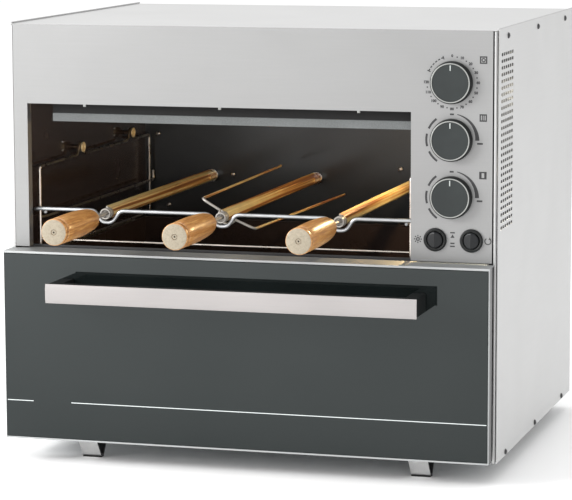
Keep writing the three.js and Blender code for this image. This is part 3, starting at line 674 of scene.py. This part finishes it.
def side_panels():
    for side, name in ((-1, "left"), (1, "right")):
        node = f"{name}_side_panel"
        low, high = span(node)
        outer = high.x if side > 0 else low.x
        inner = outer - side * SHEET
        outline = [(low.y, low.z), (high.y, low.z), (high.y, high.z), (low.y, high.z)]
        holes = [
            obround(VENT_FRONT + column * VENT_STEP, VENT_TOP - row * VENT_PITCH, *VENT_HOLE)
            for row in range(VENT_ROWS)
            for column in range(VENT_COLUMNS)
        ]
        bm = bmesh.new()
        plate(bm, outline, holes, outer, inner, facing_side)
        fold = [
            (FOLD_FRONT, low.z), (FOLD_BACK, low.z),
            (FOLD_BACK, low.z + SHEET), (FOLD_FRONT, low.z + SHEET),
        ]
        prism(bm, fold, outer - side * FOLD_WIDTH, inner, facing_side)
        publish(bm, f"{name}_side_sheet", "oven", SIDE_STEEL, (node,))
        hem = bmesh.new()
        depths = (low.y, low.y + HEM_INSET, high.y - HEM_INSET, high.y)
        tube(hem, [(outer - side * 0.5, y, high.z - 0.3) for y in depths], HEM_RADIUS, 12)
        publish(hem, f"{name}_top_hem", "oven", TRIM_STEEL)
        screws = bmesh.new()
        for y, z in SIDE_SCREWS:
            screw_head(screws, at(outer, y, z), X * side, Z)
        publish(screws, f"{name}_side_screws", "oven", BLACK_PAINT)


def back_and_roof():
    formed("top_cover", TOP_STEEL)
    formed("back_cover", GALVANISED)
    formed("base_pan", GALVANISED)
    formed("front_frame", BLACK_PAINT)
    low, high = span("back_cover")
    bm = bmesh.new()
    left, right = low.x + BACK_SCREW_INSET, high.x - BACK_SCREW_INSET
    for x in (left, -BACK_SCREW_X, BACK_SCREW_X, right):
        for z in (low.z + BACK_SCREW_RISE, high.z - BACK_SCREW_RISE):
            screw_head(bm, at(x, high.y, z), Y, X)
    for x in (left, right):
        screw_head(bm, at(x, high.y, (low.z + high.z) / 2), Y, X)
    publish(bm, "back_screws", "oven", BLACK_PAINT)
    gland = middle("cord_gland")
    bm = bmesh.new()
    profile = [
        (3.5, 456), (7.2, 456), (7.2, 460.3), (10, 460.3),
        (10, 462), (9, 466), (4.2, 466), (3.5, 465.2),
    ]
    turned(bm, [*profile, profile[0]], gland.x, gland.z, 64)
    publish(bm, "cord_gland_turned", "oven", BLACK_PLASTIC, ("cord_gland",))


def front_panel():
    formed("front_fascia", FASCIA_STEEL, 0.3, 3)
    for side in ("left", "right"):
        formed(f"corner_trim_{side}", TRIM_STEEL, 0.4, 3)


def feet():
    """Each foot is a strip folded into a V, bright on its front face, with a rubber pad."""
    for end in ("front", "rear"):
        for side in ("left", "right"):
            node = f"foot_{end}_{side}"
            low, high = span(node)
            y, half, top = (low.y + high.y) / 2, (high.y - low.y) / 2, high.z
            flat, sole, thick, inset, slant = 4, 1.2, 2, 1.2, 2.6
            outer = rounded(
                [(y - half, top, 0), (y - flat, sole, 0), (y + flat, sole, 0), (y + half, top, 0)], 3, 5
            )
            inner = rounded(
                [
                    (y + half - slant, top, 0), (y + flat - inset, sole + thick, 0),
                    (y - flat + inset, sole + thick, 0), (y - half + slant, top, 0),
                ], 2, 5,
            )
            bm = bmesh.new()
            prism(bm, [(p.x, p.y) for p in outer + inner], low.x, high.x, facing_side)
            bmesh.ops.recalc_face_normals(bm, faces=bm.faces)
            halfway = at(0, y, 0).y
            for face in bm.faces:
                in_front = face.calc_center_median().y < halfway
                face.material_index = int(in_front and face.normal.y < -0.3)
            publish(bm, f"{node}_strip", "oven", (BLACK_PAINT, FOOT_STEEL), (node,))
            pad = bmesh.new()
            rounded_block(pad, (low.x, y - flat - 1, 0), (high.x, y + flat + 1, 1.3), 0.4, 2)
            publish(pad, f"{node}_pad", "oven", RUBBER)


# ---- oven cavity --------------------------------------------------------------------------------

PIN_YS, PIN_Z = (160, 343), 353
CAVITY_LEFT, CAVITY_RIGHT, CAVITY_BACK = -271, 195, 424
# Clip rivets as depth and height above the studs; back wall screws as x and z.
RIVETS = [(121, 9.8), (121, -0.7), (303.5, 8.8), (303.5, 0.3)]
BACK_SCREWS = [(-253, 344), (-239, 250.6), (-150.5, 293), (177, 344), (163, 250.6), (74.5, 306)]


def wall_pins(side, wall_x, inward):
    """The studs that carry a side rack: a waisted stem and a wide dished head."""
    bm = bmesh.new()
    stem, head = 10.7, 2.2
    for y in PIN_YS:
        rings = [
            (2.6, -0.4), (2.6, stem), (5.6, stem), (6.5, stem + 0.7), (6.5, stem + 1.5),
            (5.9, stem + head), (4.6, stem + head), (3.9, stem + 1.1), (0, stem + 0.9),
        ]
        turns, loops = 40, []
        for radius, out in rings:
            place = at(wall_x + inward * out, y, PIN_Z)
            if not radius:
                loops.append([bm.verts.new(place)] * turns)
                continue
            loops.append([
                bm.verts.new(place + (Y * math.cos(a) + Z * math.sin(a)) * radius * MM)
                for a in circle(turns)
            ])
        for ring, (a, b) in enumerate(zip(loops, loops[1:])):
            for k in range(turns):
                n = (k + 1) % turns
                face = bm.faces.new(dict.fromkeys((a[k], a[n], b[n], b[k])))
                face.material_index = int(ring < 2)
        bm.faces.new(loops[0][::-1]).material_index = 1
    publish(bm, f"rack_pins_{side}", "oven", (BRASS_PIN, DARK_STEM))
    rivets = bmesh.new()
    for y, rise in RIVETS:
        screw_head(rivets, at(wall_x, y, PIN_Z + rise), X * inward, Z, 2.1, 1.1, 0.3)
    publish(rivets, f"clip_rivets_{side}", "oven", CHROME)


def cavity_walls():
    """The enamelled walls without their studs, which are pieces of their own."""
    front, back, top, shelf_z, hole_radius, turns = 16.4, 423.6, 445.6, 254, 12, 32
    low = span("cavity_left_wall")[0].z
    outline = [(front, low), (back, low), (back, top), (front, top)]
    bm = bmesh.new()
    plate(bm, outline, [], CAVITY_LEFT - SHEET, CAVITY_LEFT, facing_side)
    publish(bm, "cavity_left_sheet", "oven", WALL_ENAMEL, ("cavity_left_wall",))
    lamp = middle("lamp_holder")
    hole = [
        (lamp.y + hole_radius * math.cos(a), lamp.z + hole_radius * math.sin(a)) for a in circle(turns)
    ]
    inner, outer = CAVITY_RIGHT + SHEET, span("cavity_right_wall")[1].x
    bm = bmesh.new()
    plate(bm, outline, [hole], CAVITY_RIGHT, inner, facing_side)
    shelf = [(inner, front), (outer, front), (outer, back), (inner, back)]
    prism(bm, shelf, shelf_z, shelf_z + SHEET, facing_up)
    publish(bm, "cavity_right_sheet", "oven", WALL_ENAMEL, ("cavity_right_wall",))
    wall_pins("left", CAVITY_LEFT, 1)
    wall_pins("right", CAVITY_RIGHT, -1)
    formed("cavity_back_wall", BACK_ENAMEL, 0.15)
    reflector()
    bm = bmesh.new()
    for x, z in BACK_SCREWS:
        screw_head(bm, at(x, CAVITY_BACK, z), -Y, X, 3.0, 1.6, 0.6)
    publish(bm, "back_wall_screws", "oven", RACK_CHROME)


def reflector():
    """The roof reflector with three clips. Above the bent lip at the foot of its skirt it is black:
    painted shade where the top of the skirt lies in shadow. The lip has the enamel's grey.
    """
    obj = formed("cavity_reflector", SKIRT_PAINTED_SHADE, 0.25)
    obj.data.materials.append(LIP_ENAMEL)
    lip_top, clip_xs = 407.8, (-204, -39, 126)
    fold = at(0, 0, lip_top).z
    # Faces above the fold get the black painted shade; faces below keep the lip's enamel.
    for face in obj.data.polygons:
        face.material_index = int(face.center.z < fold)
    clips = bmesh.new()
    for x in clip_xs:
        rounded_block(clips, (x - 1.8, 18.4, 415.6), (x + 1.8, 19.9, 424), 0.4, 2)
    publish(clips, "reflector_clips", "oven", RING_SILVER)


def heaters():
    for node, half, front in (("heater_outer", 196, 52), ("heater_centre", 88, 92)):
        centre = (CAVITY_LEFT + CAVITY_RIGHT) / 2
        left, right, back, z = centre - half, centre + half, CAVITY_BACK - 1, 428
        corners = [(left, back, z), (left, front, z), (right, front, z), (right, back, z)]
        bm = bmesh.new()
        tube(bm, rounded(corners, 30, 12), 3.4, 20)
        for x in (left, right):
            turned(bm, [(3.6, back - 12), (5.2, back - 11), (5.2, back), (3.6, back)], x, z, 24)
        publish(bm, f"{node}_tube", "oven", HEATER_OXIDE, (node,))


def oven_lamp():
    formed("lamp_holder", WHITE_PLASTIC, 0.4)
    lamp = middle("lamp_holder")
    bm = bmesh.new()
    profile = [
        (0, -16), (2.6, -15.6), (5, -14.3), (6.9, -11.6), (7.8, -8),
        (7.6, -5.4), (6.6, -2.2), (5, 0.4), (5, 14), (0, 14),
    ]
    turned(bm, profile, 0, 0, 48)
    tip = Matrix.Rotation(math.radians(-90), 4, "Z")
    back = Matrix.Translation(-at(0, 0, 0))
    place = Matrix.Translation(at(CAVITY_RIGHT - 1, lamp.y, lamp.z))
    bmesh.ops.transform(bm, matrix=place @ tip @ back, verts=bm.verts)
    publish(bm, "lamp_bulb_glass", "oven", LAMP_GLASS, ("lamp_bulb",))


# ---- racks and rest bar -------------------------------------------------------------------------

WIRE, RACK_FRONT, RACK_BACK, RACK_TOP, RACK_LOW, RAIL_Z = 1.7, 22, 414, 344, 240, 284
BAR_Y, BAR_Z, CRADLE_Z, BAR = 16, 295, 281.1, 2.3


def side_rack(name, x, inward):
    hump = PIN_Z + 2.6 + 0.4 + WIRE
    humps = [
        p for y in PIN_YS for p in (
            (x, y - 13, RACK_TOP), (x, y - 6, hump), (x, y + 6, hump), (x, y + 13, RACK_TOP),
        )
    ]
    frame_route = [
        (x, RACK_FRONT, RACK_LOW), (x, RACK_FRONT, RACK_TOP), *humps,
        (x, RACK_BACK, RACK_TOP), (x, RACK_BACK, RACK_LOW),
    ]
    rail_x = x + inward * (WIRE * 2 - 0.3)
    rail_route = [
        (x, RACK_FRONT + 1, RAIL_Z), (rail_x, 38, RAIL_Z),
        (rail_x, RACK_BACK + 6, RAIL_Z), (rail_x, RACK_BACK + 6, RAIL_Z + 12),
    ]
    bm = bmesh.new()
    tube(bm, rounded(frame_route, 5), WIRE)
    tube(bm, rounded(rail_route, 4), WIRE)
    tube(bm, [(x, RACK_FRONT, RACK_LOW + 2), (x, RACK_BACK, RACK_LOW + 2)], WIRE)
    publish(bm, f"{name}_wires", "oven", RACK_CHROME, (name,))


def racks_and_bar():
    inset, cross_gap, cross_radius = 8.7, 2.1, 1.3
    left, right = CAVITY_LEFT + inset, CAVITY_RIGHT - inset
    side_rack("rack_left", left, 1)
    side_rack("rack_right", right, -1)
    cross = middle("cross_wire")
    bm = bmesh.new()
    ends = [(x, cross.y, cross.z) for x in (left + cross_gap, right - cross_gap)]
    tube(bm, ends, cross_radius)
    publish(bm, "cross_wire_drawn", "oven", RACK_CHROME, ("cross_wire",))
    radius, steps, wind, drop = RACK_FRONT - BAR_Y, 22, math.pi * 1.4, 5

    def hook(x, outward):
        return [
            (
                x + outward * math.sin(wind * k / steps) * radius,
                RACK_FRONT - math.cos(wind * k / steps) * radius,
                BAR_Z - drop * k / steps,
            )
            for k in range(steps + 1)
        ]

    dip = ((-16, BAR_Z), (-6, CRADLE_Z), (6, CRADLE_Z), (16, BAR_Z))
    blade_xs = [middle(f"blade_{side}").x for side in ("left", "middle", "right")]
    dips = [(x + across, BAR_Y, z) for x in blade_xs for across, z in dip]
    left_hook, right_hook = hook(left, -1)[::-1], hook(right, 1)
    straight = rounded([left_hook[-1], *dips, right_hook[0]], 5)
    bm = bmesh.new()
    tube(bm, [*left_hook, *straight[1:-1], *right_hook], BAR, 20)
    publish(bm, "rest_bar_wire", "oven", BAR_CHROME, ("rest_bar",))


# ---- controls -----------------------------------------------------------------------------------

KNOBS = ("timer", "centre", "outer")
KNOB_DEPTH = 10


def knobs():
    for name in KNOBS:
        node = f"{name}_knob"
        low, high = span(node)
        x, z = (low.x + high.x) / 2, (low.z + high.z) / 2
        wall = [
            (0, -KNOB_DEPTH + 0.7), (20.4, -KNOB_DEPTH + 0.5), (20.7, -KNOB_DEPTH + 0.2),
            (22.7, -KNOB_DEPTH + 0.25), (23.2, -KNOB_DEPTH + 0.8), (23.5, -KNOB_DEPTH + 1.8),
            (23.9, -2.8), (24, -1.6), (23.7, -0.5), (5.2, -0.4), (5.2, 6.6), (0, 6.6),
        ]
        bm = bmesh.new()
        turned(bm, wall, x, z)
        for face in bm.faces:
            centre = face.calc_center_median()
            radius = math.hypot(centre.x - x * MM, centre.z - z * MM) / MM
            face.material_index = 1 if radius < 21.5 and centre.y < at(0, -5, 0).y else 0
        publish(bm, f"{node}_turned", node, (BLACK_PLASTIC, KNOB_FACE), (node,))
        ring = bmesh.new()
        front = -KNOB_DEPTH
        turned(ring, [
            (20.8, front + 0.5), (21.0, front - 0.05), (21.6, front - 0.2), (22.2, front),
            (22.4, front + 0.6), (21.6, front + 1.0), (20.8, front + 0.5),
        ], x, z)
        publish(ring, f"{node}_ring", node, RING_SILVER)
        mark = bmesh.new()
        rounded_block(mark, (x - 0.6, front - 0.1, z + 13.6), (x + 0.6, front + 0.9, z + 19.8), 0.25, 2)
        publish(mark, f"{node}_pointer", node, POINTER_INK)


def push_buttons():
    for name in ("lamp", "motor"):
        switch, button = f"{name}_switch", f"{name}_button"
        x, z = middle(button).x, middle(button).z
        bm = bmesh.new()
        turned(bm, [
            (10.2, -2.2), (10.6, -3.3), (11.4, -3.6), (12.4, -3.3), (13.1, -2.2), (13.2, -0.8),
            (13.0, -0.4), (10.7, -0.4), (10.7, 13.9), (10.0, 13.9), (10.0, -1.6), (10.2, -2.2),
        ], x, z)
        rounded_block(bm, (x - 9, 13.5, z - 9), (x + 9, 30, z + 9), 0.8, 2)
        publish(bm, f"{switch}_shell", "oven", BLACK_PLASTIC, (switch,))
        lip = bmesh.new()
        turned(lip, [(9.95, -2.4), (10.1, -2.9), (10.5, -3.0), (10.7, -2.4), (9.95, -2.4)], x, z)
        publish(lip, f"{switch}_ring", "oven", RING_GREY)
        bm = bmesh.new()
        turned(bm, [
            (0, -6.3), (2, -6.3), (4, -6.3), (6, -6.3), (7.6, -6.3), (8.6, -6.0), (9.3, -5.2), (9.5, -4),
            (9.5, 7), (0, 7),
        ], x, z, 64)
        for vert in bm.verts:
            depth = (vert.co.y - FRONT) / MM
            if depth < -4.5:
                vert.co.y += abs(vert.co.x - x * MM) * 0.34
        publish(bm, f"{button}_cap", button, BUTTON_PLASTIC, (button,), 14)


def control_boxes():
    for node in ("timer_body", "centre_regulator", "outer_regulator"):
        formed(node, WHITE_PLASTIC, 0.8, 3)
        low, high = span(node)
        bm = bmesh.new()
        for dx in (-8, 8):
            x, z = (low.x + high.x) / 2 + dx, high.z - 6
            rounded_block(bm, (x - 3.1, high.y, z - 0.4), (x + 3.1, high.y + 8, z + 0.4), 0.15, 1)
        publish(bm, f"{node}_tabs", "oven", CHROME)


# ---- prints on the front ------------------------------------------------------------------------

INK = (-0.07, 0.02)
TIMER_STEP, NUMBER_RADIUS, NUMBER_SIZE, DOT_RADIUS, DOT = 22.5, 29.6, 4.2, 28.8, 1.5


def sector(bm, x, z, inner, outer, start, end, steps=None):
    """A printed arc; angles are degrees clockwise from the top. inner and outer may each be a pair."""
    steps = steps or max(2, int(abs(end - start) / 3))
    inner = inner if isinstance(inner, tuple) else (inner, inner)
    outer = outer if isinstance(outer, tuple) else (outer, outer)
    edges = []
    for first, last in (outer, inner):
        line = []
        for k in range(steps + 1):
            t = k / steps
            angle = math.radians(start + (end - start) * t)
            radius = first + (last - first) * t
            line.append((x + radius * math.sin(angle), z + radius * math.cos(angle)))
        edges.append(line)
    prism(bm, edges[0] + edges[1][::-1], *INK, facing_front)


def bar(bm, x, z, width, height):
    w, h = width / 2, height / 2
    prism(bm, [(x - w, z - h), (x + w, z - h), (x + w, z + h), (x - w, z + h)], *INK, facing_front)


def frame_mark(bm, x, z, size, line):
    """A square outline."""
    half = size / 2
    for side in (-1, 1):
        bar(bm, x + side * (half - line / 2), z, line, size)
        bar(bm, x, z + side * (half - line / 2), size - 2 * line, line)


def number(bm, text, x, z, size):
    """A printed number centred on (x, z)."""
    curve = bpy.data.curves.new("number", "FONT")
    curve.body = text
    curve.size = size * MM
    curve.align_x = "CENTER"
    curve.align_y = "CENTER"
    curve.extrude = 0.03 * MM
    curve.offset = 0.24 * MM
    curve.resolution_u = 2
    writing = bpy.data.objects.new("number", curve)
    bpy.context.scene.collection.objects.link(writing)
    bpy.context.view_layer.update()
    shape = writing.evaluated_get(bpy.context.evaluated_depsgraph_get()).to_mesh()
    shape.transform(Matrix.Translation(at(x, -0.04, z)) @ Matrix.Rotation(math.radians(90), 4, "X"))
    bm.from_mesh(shape)
    bpy.data.objects.remove(writing)


def timer_scale(bm, x, z):
    """Minutes from 0 to 120 clockwise, with dots between and a dashed arc on the other side."""
    for step in range(13):
        angle = math.radians(step * TIMER_STEP)
        u, v = x + NUMBER_RADIUS * math.sin(angle), z + NUMBER_RADIUS * math.cos(angle)
        number(bm, str(step * 10), u, v, NUMBER_SIZE)
        if step < 12:
            half = math.radians((step + 0.5) * TIMER_STEP)
            bar(bm, x + DOT_RADIUS * math.sin(half), z + DOT_RADIUS * math.cos(half), DOT, DOT)
    for start in range(-65, -22, 8):
        sector(bm, x, z, 28.6, 30.0, start, start + 5)
    for end in (-66, -21):
        sector(bm, x, z, 27.2, 31.2, end, end + 2.2)


def power_scale(bm, x, z):
    """A wedge that grows clockwise between two marks, and three dashes on the other side."""
    bar(bm, x, z + 28.8, 4.6, 1.9)
    sector(bm, x, z, (29.0, 26.6), (29.8, 31.4), 12, 90, 40)
    bar(bm, x + 32, z - 3.4, 6.4, 2.0)
    for start in (215, 255, 295):
        sector(bm, x, z, 28.0, 30.4, start, start + 28)


def sun_mark(bm, x, z):
    sector(bm, x, z, 1.0, 2.2, 0, 360, 24)
    for turn in range(8):
        sector(bm, x, z, 2.8, 4.6, turn * 45 - 9, turn * 45 + 9, 2)


def turning_mark(bm, x, z):
    sector(bm, x, z, 2.9, 4.1, 40, 330, 40)
    tip = math.radians(40)
    u, v = x + 3.4 * math.sin(tip), z + 3.4 * math.cos(tip)
    prism(bm, [(u - 1.5, v - 0.9), (u + 1.7, v - 0.8), (u - 0.2, v + 2.0)], *INK, facing_front)


def front_prints():
    bm = bmesh.new()
    for name in KNOBS:
        centre = middle(f"{name}_knob")
        if name == "timer":
            timer_scale(bm, centre.x, centre.z)
        else:
            power_scale(bm, centre.x, centre.z)
    icon_x, rise = 274, 25.5
    timer, centre_z, outer = (middle(f"{name}_knob").z + rise for name in KNOBS)
    for z in (timer, centre_z, outer):
        frame_mark(bm, icon_x, z, 8.4, 1.5)
    sector(bm, icon_x, timer, 1.2, 2.4, 0, 360, 24)
    for side in (-1, 1):
        bar(bm, icon_x + side * 0.95, centre_z, 1.1, 5.6)
        bar(bm, icon_x + side * 2.2, outer, 1.4, 5.8)
    lamp, motor = middle("lamp_button"), middle("motor_button")
    sun_mark(bm, lamp.x - 20, lamp.z)
    turning_mark(bm, motor.x + 18.7, motor.z)
    mid, z = (lamp.x + motor.x) / 2 - 1, lamp.z
    prism(bm, [(mid - 2.4, z + 2.6), (mid + 2.4, z + 2.6), (mid, z + 6.6)], *INK, facing_front)
    bar(bm, mid, z + 8.4, 5.4, 1.5)
    bar(bm, mid, z - 3.6, 4.8, 1.6)
    bar(bm, mid, z - 7.0, 5.4, 1.5)
    publish(bm, "front_prints", "oven", BLACK_INK)


# ---- skewers and their drive --------------------------------------------------------------------

def blade(side, x, z):
    """A folded channel with rounded bends, a turned neck in front and a six-sided tip."""
    out, half, web, skin = 2.75, 8, 4.4, 1.6
    front, back, tang_front, tang_back, tip, tang = 20, 412, 396, 419, 420, 5.2
    outer = rounded([(-out, -half, 0), (out, -web, 0), (out, web, 0), (-out, half, 0)], 1.6, 5)
    inner = rounded(
        [
            (-out - 0.4, half - skin, 0), (out - skin, web - 0.5, 0),
            (out - skin, -web + 0.5, 0), (-out - 0.4, -half + skin, 0),
        ], 1.0, 5,
    )
    channel = [(x + p.x, z + p.y) for p in outer + inner]
    bm = bmesh.new()
    prism(bm, channel, front, back, facing_front)
    angles = [math.radians(k * 60) for k in range(6)]
    hexagon = [(x + tang * math.sin(a), z + tang * math.cos(a)) for a in angles]
    prism(bm, hexagon, tang_front, tang_back, facing_front)
    cone = [(x + (u - x) * 0.8, z + (v - z) * 0.8) for u, v in hexagon]
    prism(bm, cone, tang_back, tip, facing_front)
    turned(bm, [
        (0, -153), (2.6, -153), (2.6, 13), (4.7, 13), (4.7, 8.4), (5.0, 8), (6.1, 8), (6.4, 8.4),
        (6.4, 12.4), (6.0, 12.9), (6.0, 14.1), (6.4, 14.6), (6.4, 20.8), (6.0, 22), (5.0, 24.5),
        (3.6, 27.4), (0, 28),
    ], x, z, 64)
    publish(bm, f"blade_{side}_steel", f"skewer_{side}", SKEWER_METAL, (f"blade_{side}",))


def grip(side, x, z):
    """A turned grip with an end disc, a groove behind it and a slim rear end."""
    front, back, bore = -158, -36, 3.2
    profile = [
        (bore, front + 6), (bore, front + 0.3), (3.5, front), (13.2, front), (14.2, front + 0.35),
        (14.8, front + 1.0), (15, front + 2.0), (15, front + 7.2), (14.6, front + 8.0),
        (13.9, front + 8.7), (13.7, front + 9.5), (13.9, front + 10.3), (14.6, front + 11.0),
        (15.0, front + 12.0), (15.2, front + 28), (15.4, front + 50), (15.2, front + 68),
        (14.6, back - 36), (14.0, back - 26), (13.1, back - 16), (12.2, back - 10), (11.1, back - 5),
        (9.8, back - 1.6), (8, back), (bore, back), (bore, front + 6),
    ]
    bm = bmesh.new()
    turned(bm, profile, x, z)
    limit = at(0, front + 0.2, 0).y
    for face in bm.faces:
        face.material_index = 1 if face.calc_center_median().y < limit else 0
    publish(bm, f"grip_{side}_wood", f"skewer_{side}", (WOOD_SIDE, WOOD_END), (f"grip_{side}",))
    plug = bmesh.new()
    turned(plug, [
        (1.0, front + 4.6), (1.0, front + 0.5), (1.2, front + 0.3), (2.6, front + 0.3),
        (2.85, front + 0.6), (2.85, front + 4.6), (1.0, front + 4.6),
    ], x, z, 48)
    publish(plug, f"grip_{side}_plug", f"skewer_{side}", WOOD_END)


def roast_fork(x, z):
    """One bent wire: two pointed tines along the blade, joined by a half ring round it."""
    tilt, low_tilt, low_tip_tilt = (math.radians(a) for a in (150, 335, 340))
    reach, y, tip, ring = 36, 36, 372, 10.5

    def around(radius, angle, depth):
        return (x + radius * math.cos(angle), depth, z + radius * math.sin(angle))

    half = [around(ring, tilt + math.pi * k / 14, y) for k in range(15)]
    upper = rounded([around(reach + 4, tilt, tip), around(reach, tilt, y), half[0]], 7)
    lower = rounded([half[-1], around(reach, low_tilt, y), around(reach + 12, low_tip_tilt, tip + 16)], 7)
    bm = bmesh.new()
    tube(bm, [*half[::-1], *upper[::-1][1:]], 1.5, 16, point=5)
    tube(bm, [half[-2], *lower], 1.5, 16, point=5)
    publish(bm, "roast_fork_wire", "fork", FORK_METAL, ("roast_fork",))


def sockets_and_gears():
    for side in ("left", "middle", "right"):
        centre = middle(f"blade_{side}")
        blade(side, centre.x, centre.z)
        grip(side, centre.x, centre.z)
        formed(f"socket_{side}", CHROME, 0.3)
        formed(f"drive_gear_{side}", NYLON, 0.2)
    centre = middle("blade_middle")
    roast_fork(centre.x, centre.z)
    for node in ("idler_gear_left", "idler_gear_right", "motor_pinion"):
        formed(node, NYLON, 0.2)
    formed("gear_plate", GALVANISED, 0.2)
    formed("gearmotor", GALVANISED, 1.0, 3)


# ---- drawer -------------------------------------------------------------------------------------

PAN_SIDE, DARK_SIDE_FRONT, BOX_HALF, BOX_INSET = 288, -26.5, 266, 0.4
LINE_Z, LINE, LINE_GAP = 74, 0.9, (-254, -207)


def drawer_pan():
    """The pan is bright in front and on its upper face; its side faces behind a set depth are dark, given
    the black paint material.
    """
    obj = formed("drawer_pan", DRAWER_STEEL, 0.3, 3)
    obj.data.materials.append(BLACK_PAINT)
    side_x, dark_side_y = at(PAN_SIDE, 0, 0).x, at(0, DARK_SIDE_FRONT, 0).y
    bm = bmesh.new()
    bm.from_mesh(obj.data)
    everything = [*bm.verts, *bm.edges, *bm.faces]
    bmesh.ops.bisect_plane(bm, geom=everything, plane_co=(0, dark_side_y, 0), plane_no=Y)
    for face in bm.faces:
        centre = face.calc_center_median()
        if abs(face.normal.x) > 0.7 and abs(centre.x) > side_x and centre.y > dark_side_y:
            face.material_index = 1
    bm.to_mesh(obj.data)
    bm.free()


def drawer():
    drawer_pan()
    formed("drawer_glass", SMOKED_GLASS, 0.5, 3)
    low, high = span("drawer_glass")
    bm = bmesh.new()
    for start, end in ((low.x + 1, LINE_GAP[0]), (LINE_GAP[1], high.x - 1)):
        near = (start, low.y - 0.07, LINE_Z - LINE / 2)
        far = (end, low.y + 0.1, LINE_Z + LINE / 2)
        rounded_block(bm, near, far, 0.03, 1)
    publish(bm, "drawer_silk_line", "drawer", WHITE_INK)
    formed("handle_body", BLACK_PLASTIC, 1.6, 4)
    formed("handle_strip", HANDLE_SILVER, 0.35, 3)
    formed("drawer_box", WALL_ENAMEL, 0.2)
    low, high = span("drawer_box")
    half, top = BOX_HALF - BOX_INSET, high.z
    front, back = low.y + BOX_INSET, high.y - BOX_INSET
    corners = [(-half, front, top), (half, front, top), (half, back, top), (-half, back, top)]
    rim_route = rounded(corners, 4, 6, closed=True)
    bm = bmesh.new()
    tube(bm, rim_route, 1.2, 12, closed=True)
    publish(bm, "drawer_box_rim", "drawer", WALL_ENAMEL)


def drip_tray():
    formed("drip_tray", WALL_ENAMEL, 0.25)
    low, high = span("drip_tray")
    corners = [
        (low.x + 0.8, low.y + 0.8, high.z - 0.6), (high.x - 0.8, low.y + 0.8, high.z - 0.6),
        (high.x - 0.8, high.y - 0.8, high.z - 0.6), (low.x + 0.8, high.y - 0.8, high.z - 0.6),
    ]
    bm = bmesh.new()
    tube(bm, rounded(corners, 8, 6, closed=True), 1.0, 12, closed=True)
    publish(bm, "drip_tray_rim", "tray", WALL_ENAMEL)


def floor():
    half = 40
    bm = bmesh.new()
    corners = [(-half, -half), (half, -half), (half, half), (-half, half)]
    bm.faces.new([bm.verts.new((x, y, 0)) for x, y in corners])
    mesh = bpy.data.meshes.new("studio_floor")
    bm.to_mesh(mesh)
    bm.free()
    mesh.materials.append(floor_paper())
    obj = bpy.data.objects.new("studio_floor", mesh)
    bpy.context.scene.collection.objects.link(obj)


make_camera()
make_studio()
floor()
side_panels()
back_and_roof()
front_panel()
feet()
cavity_walls()
heaters()
oven_lamp()
racks_and_bar()
knobs()
push_buttons()
control_boxes()
front_prints()
sockets_and_gears()
drawer()
drip_tray()
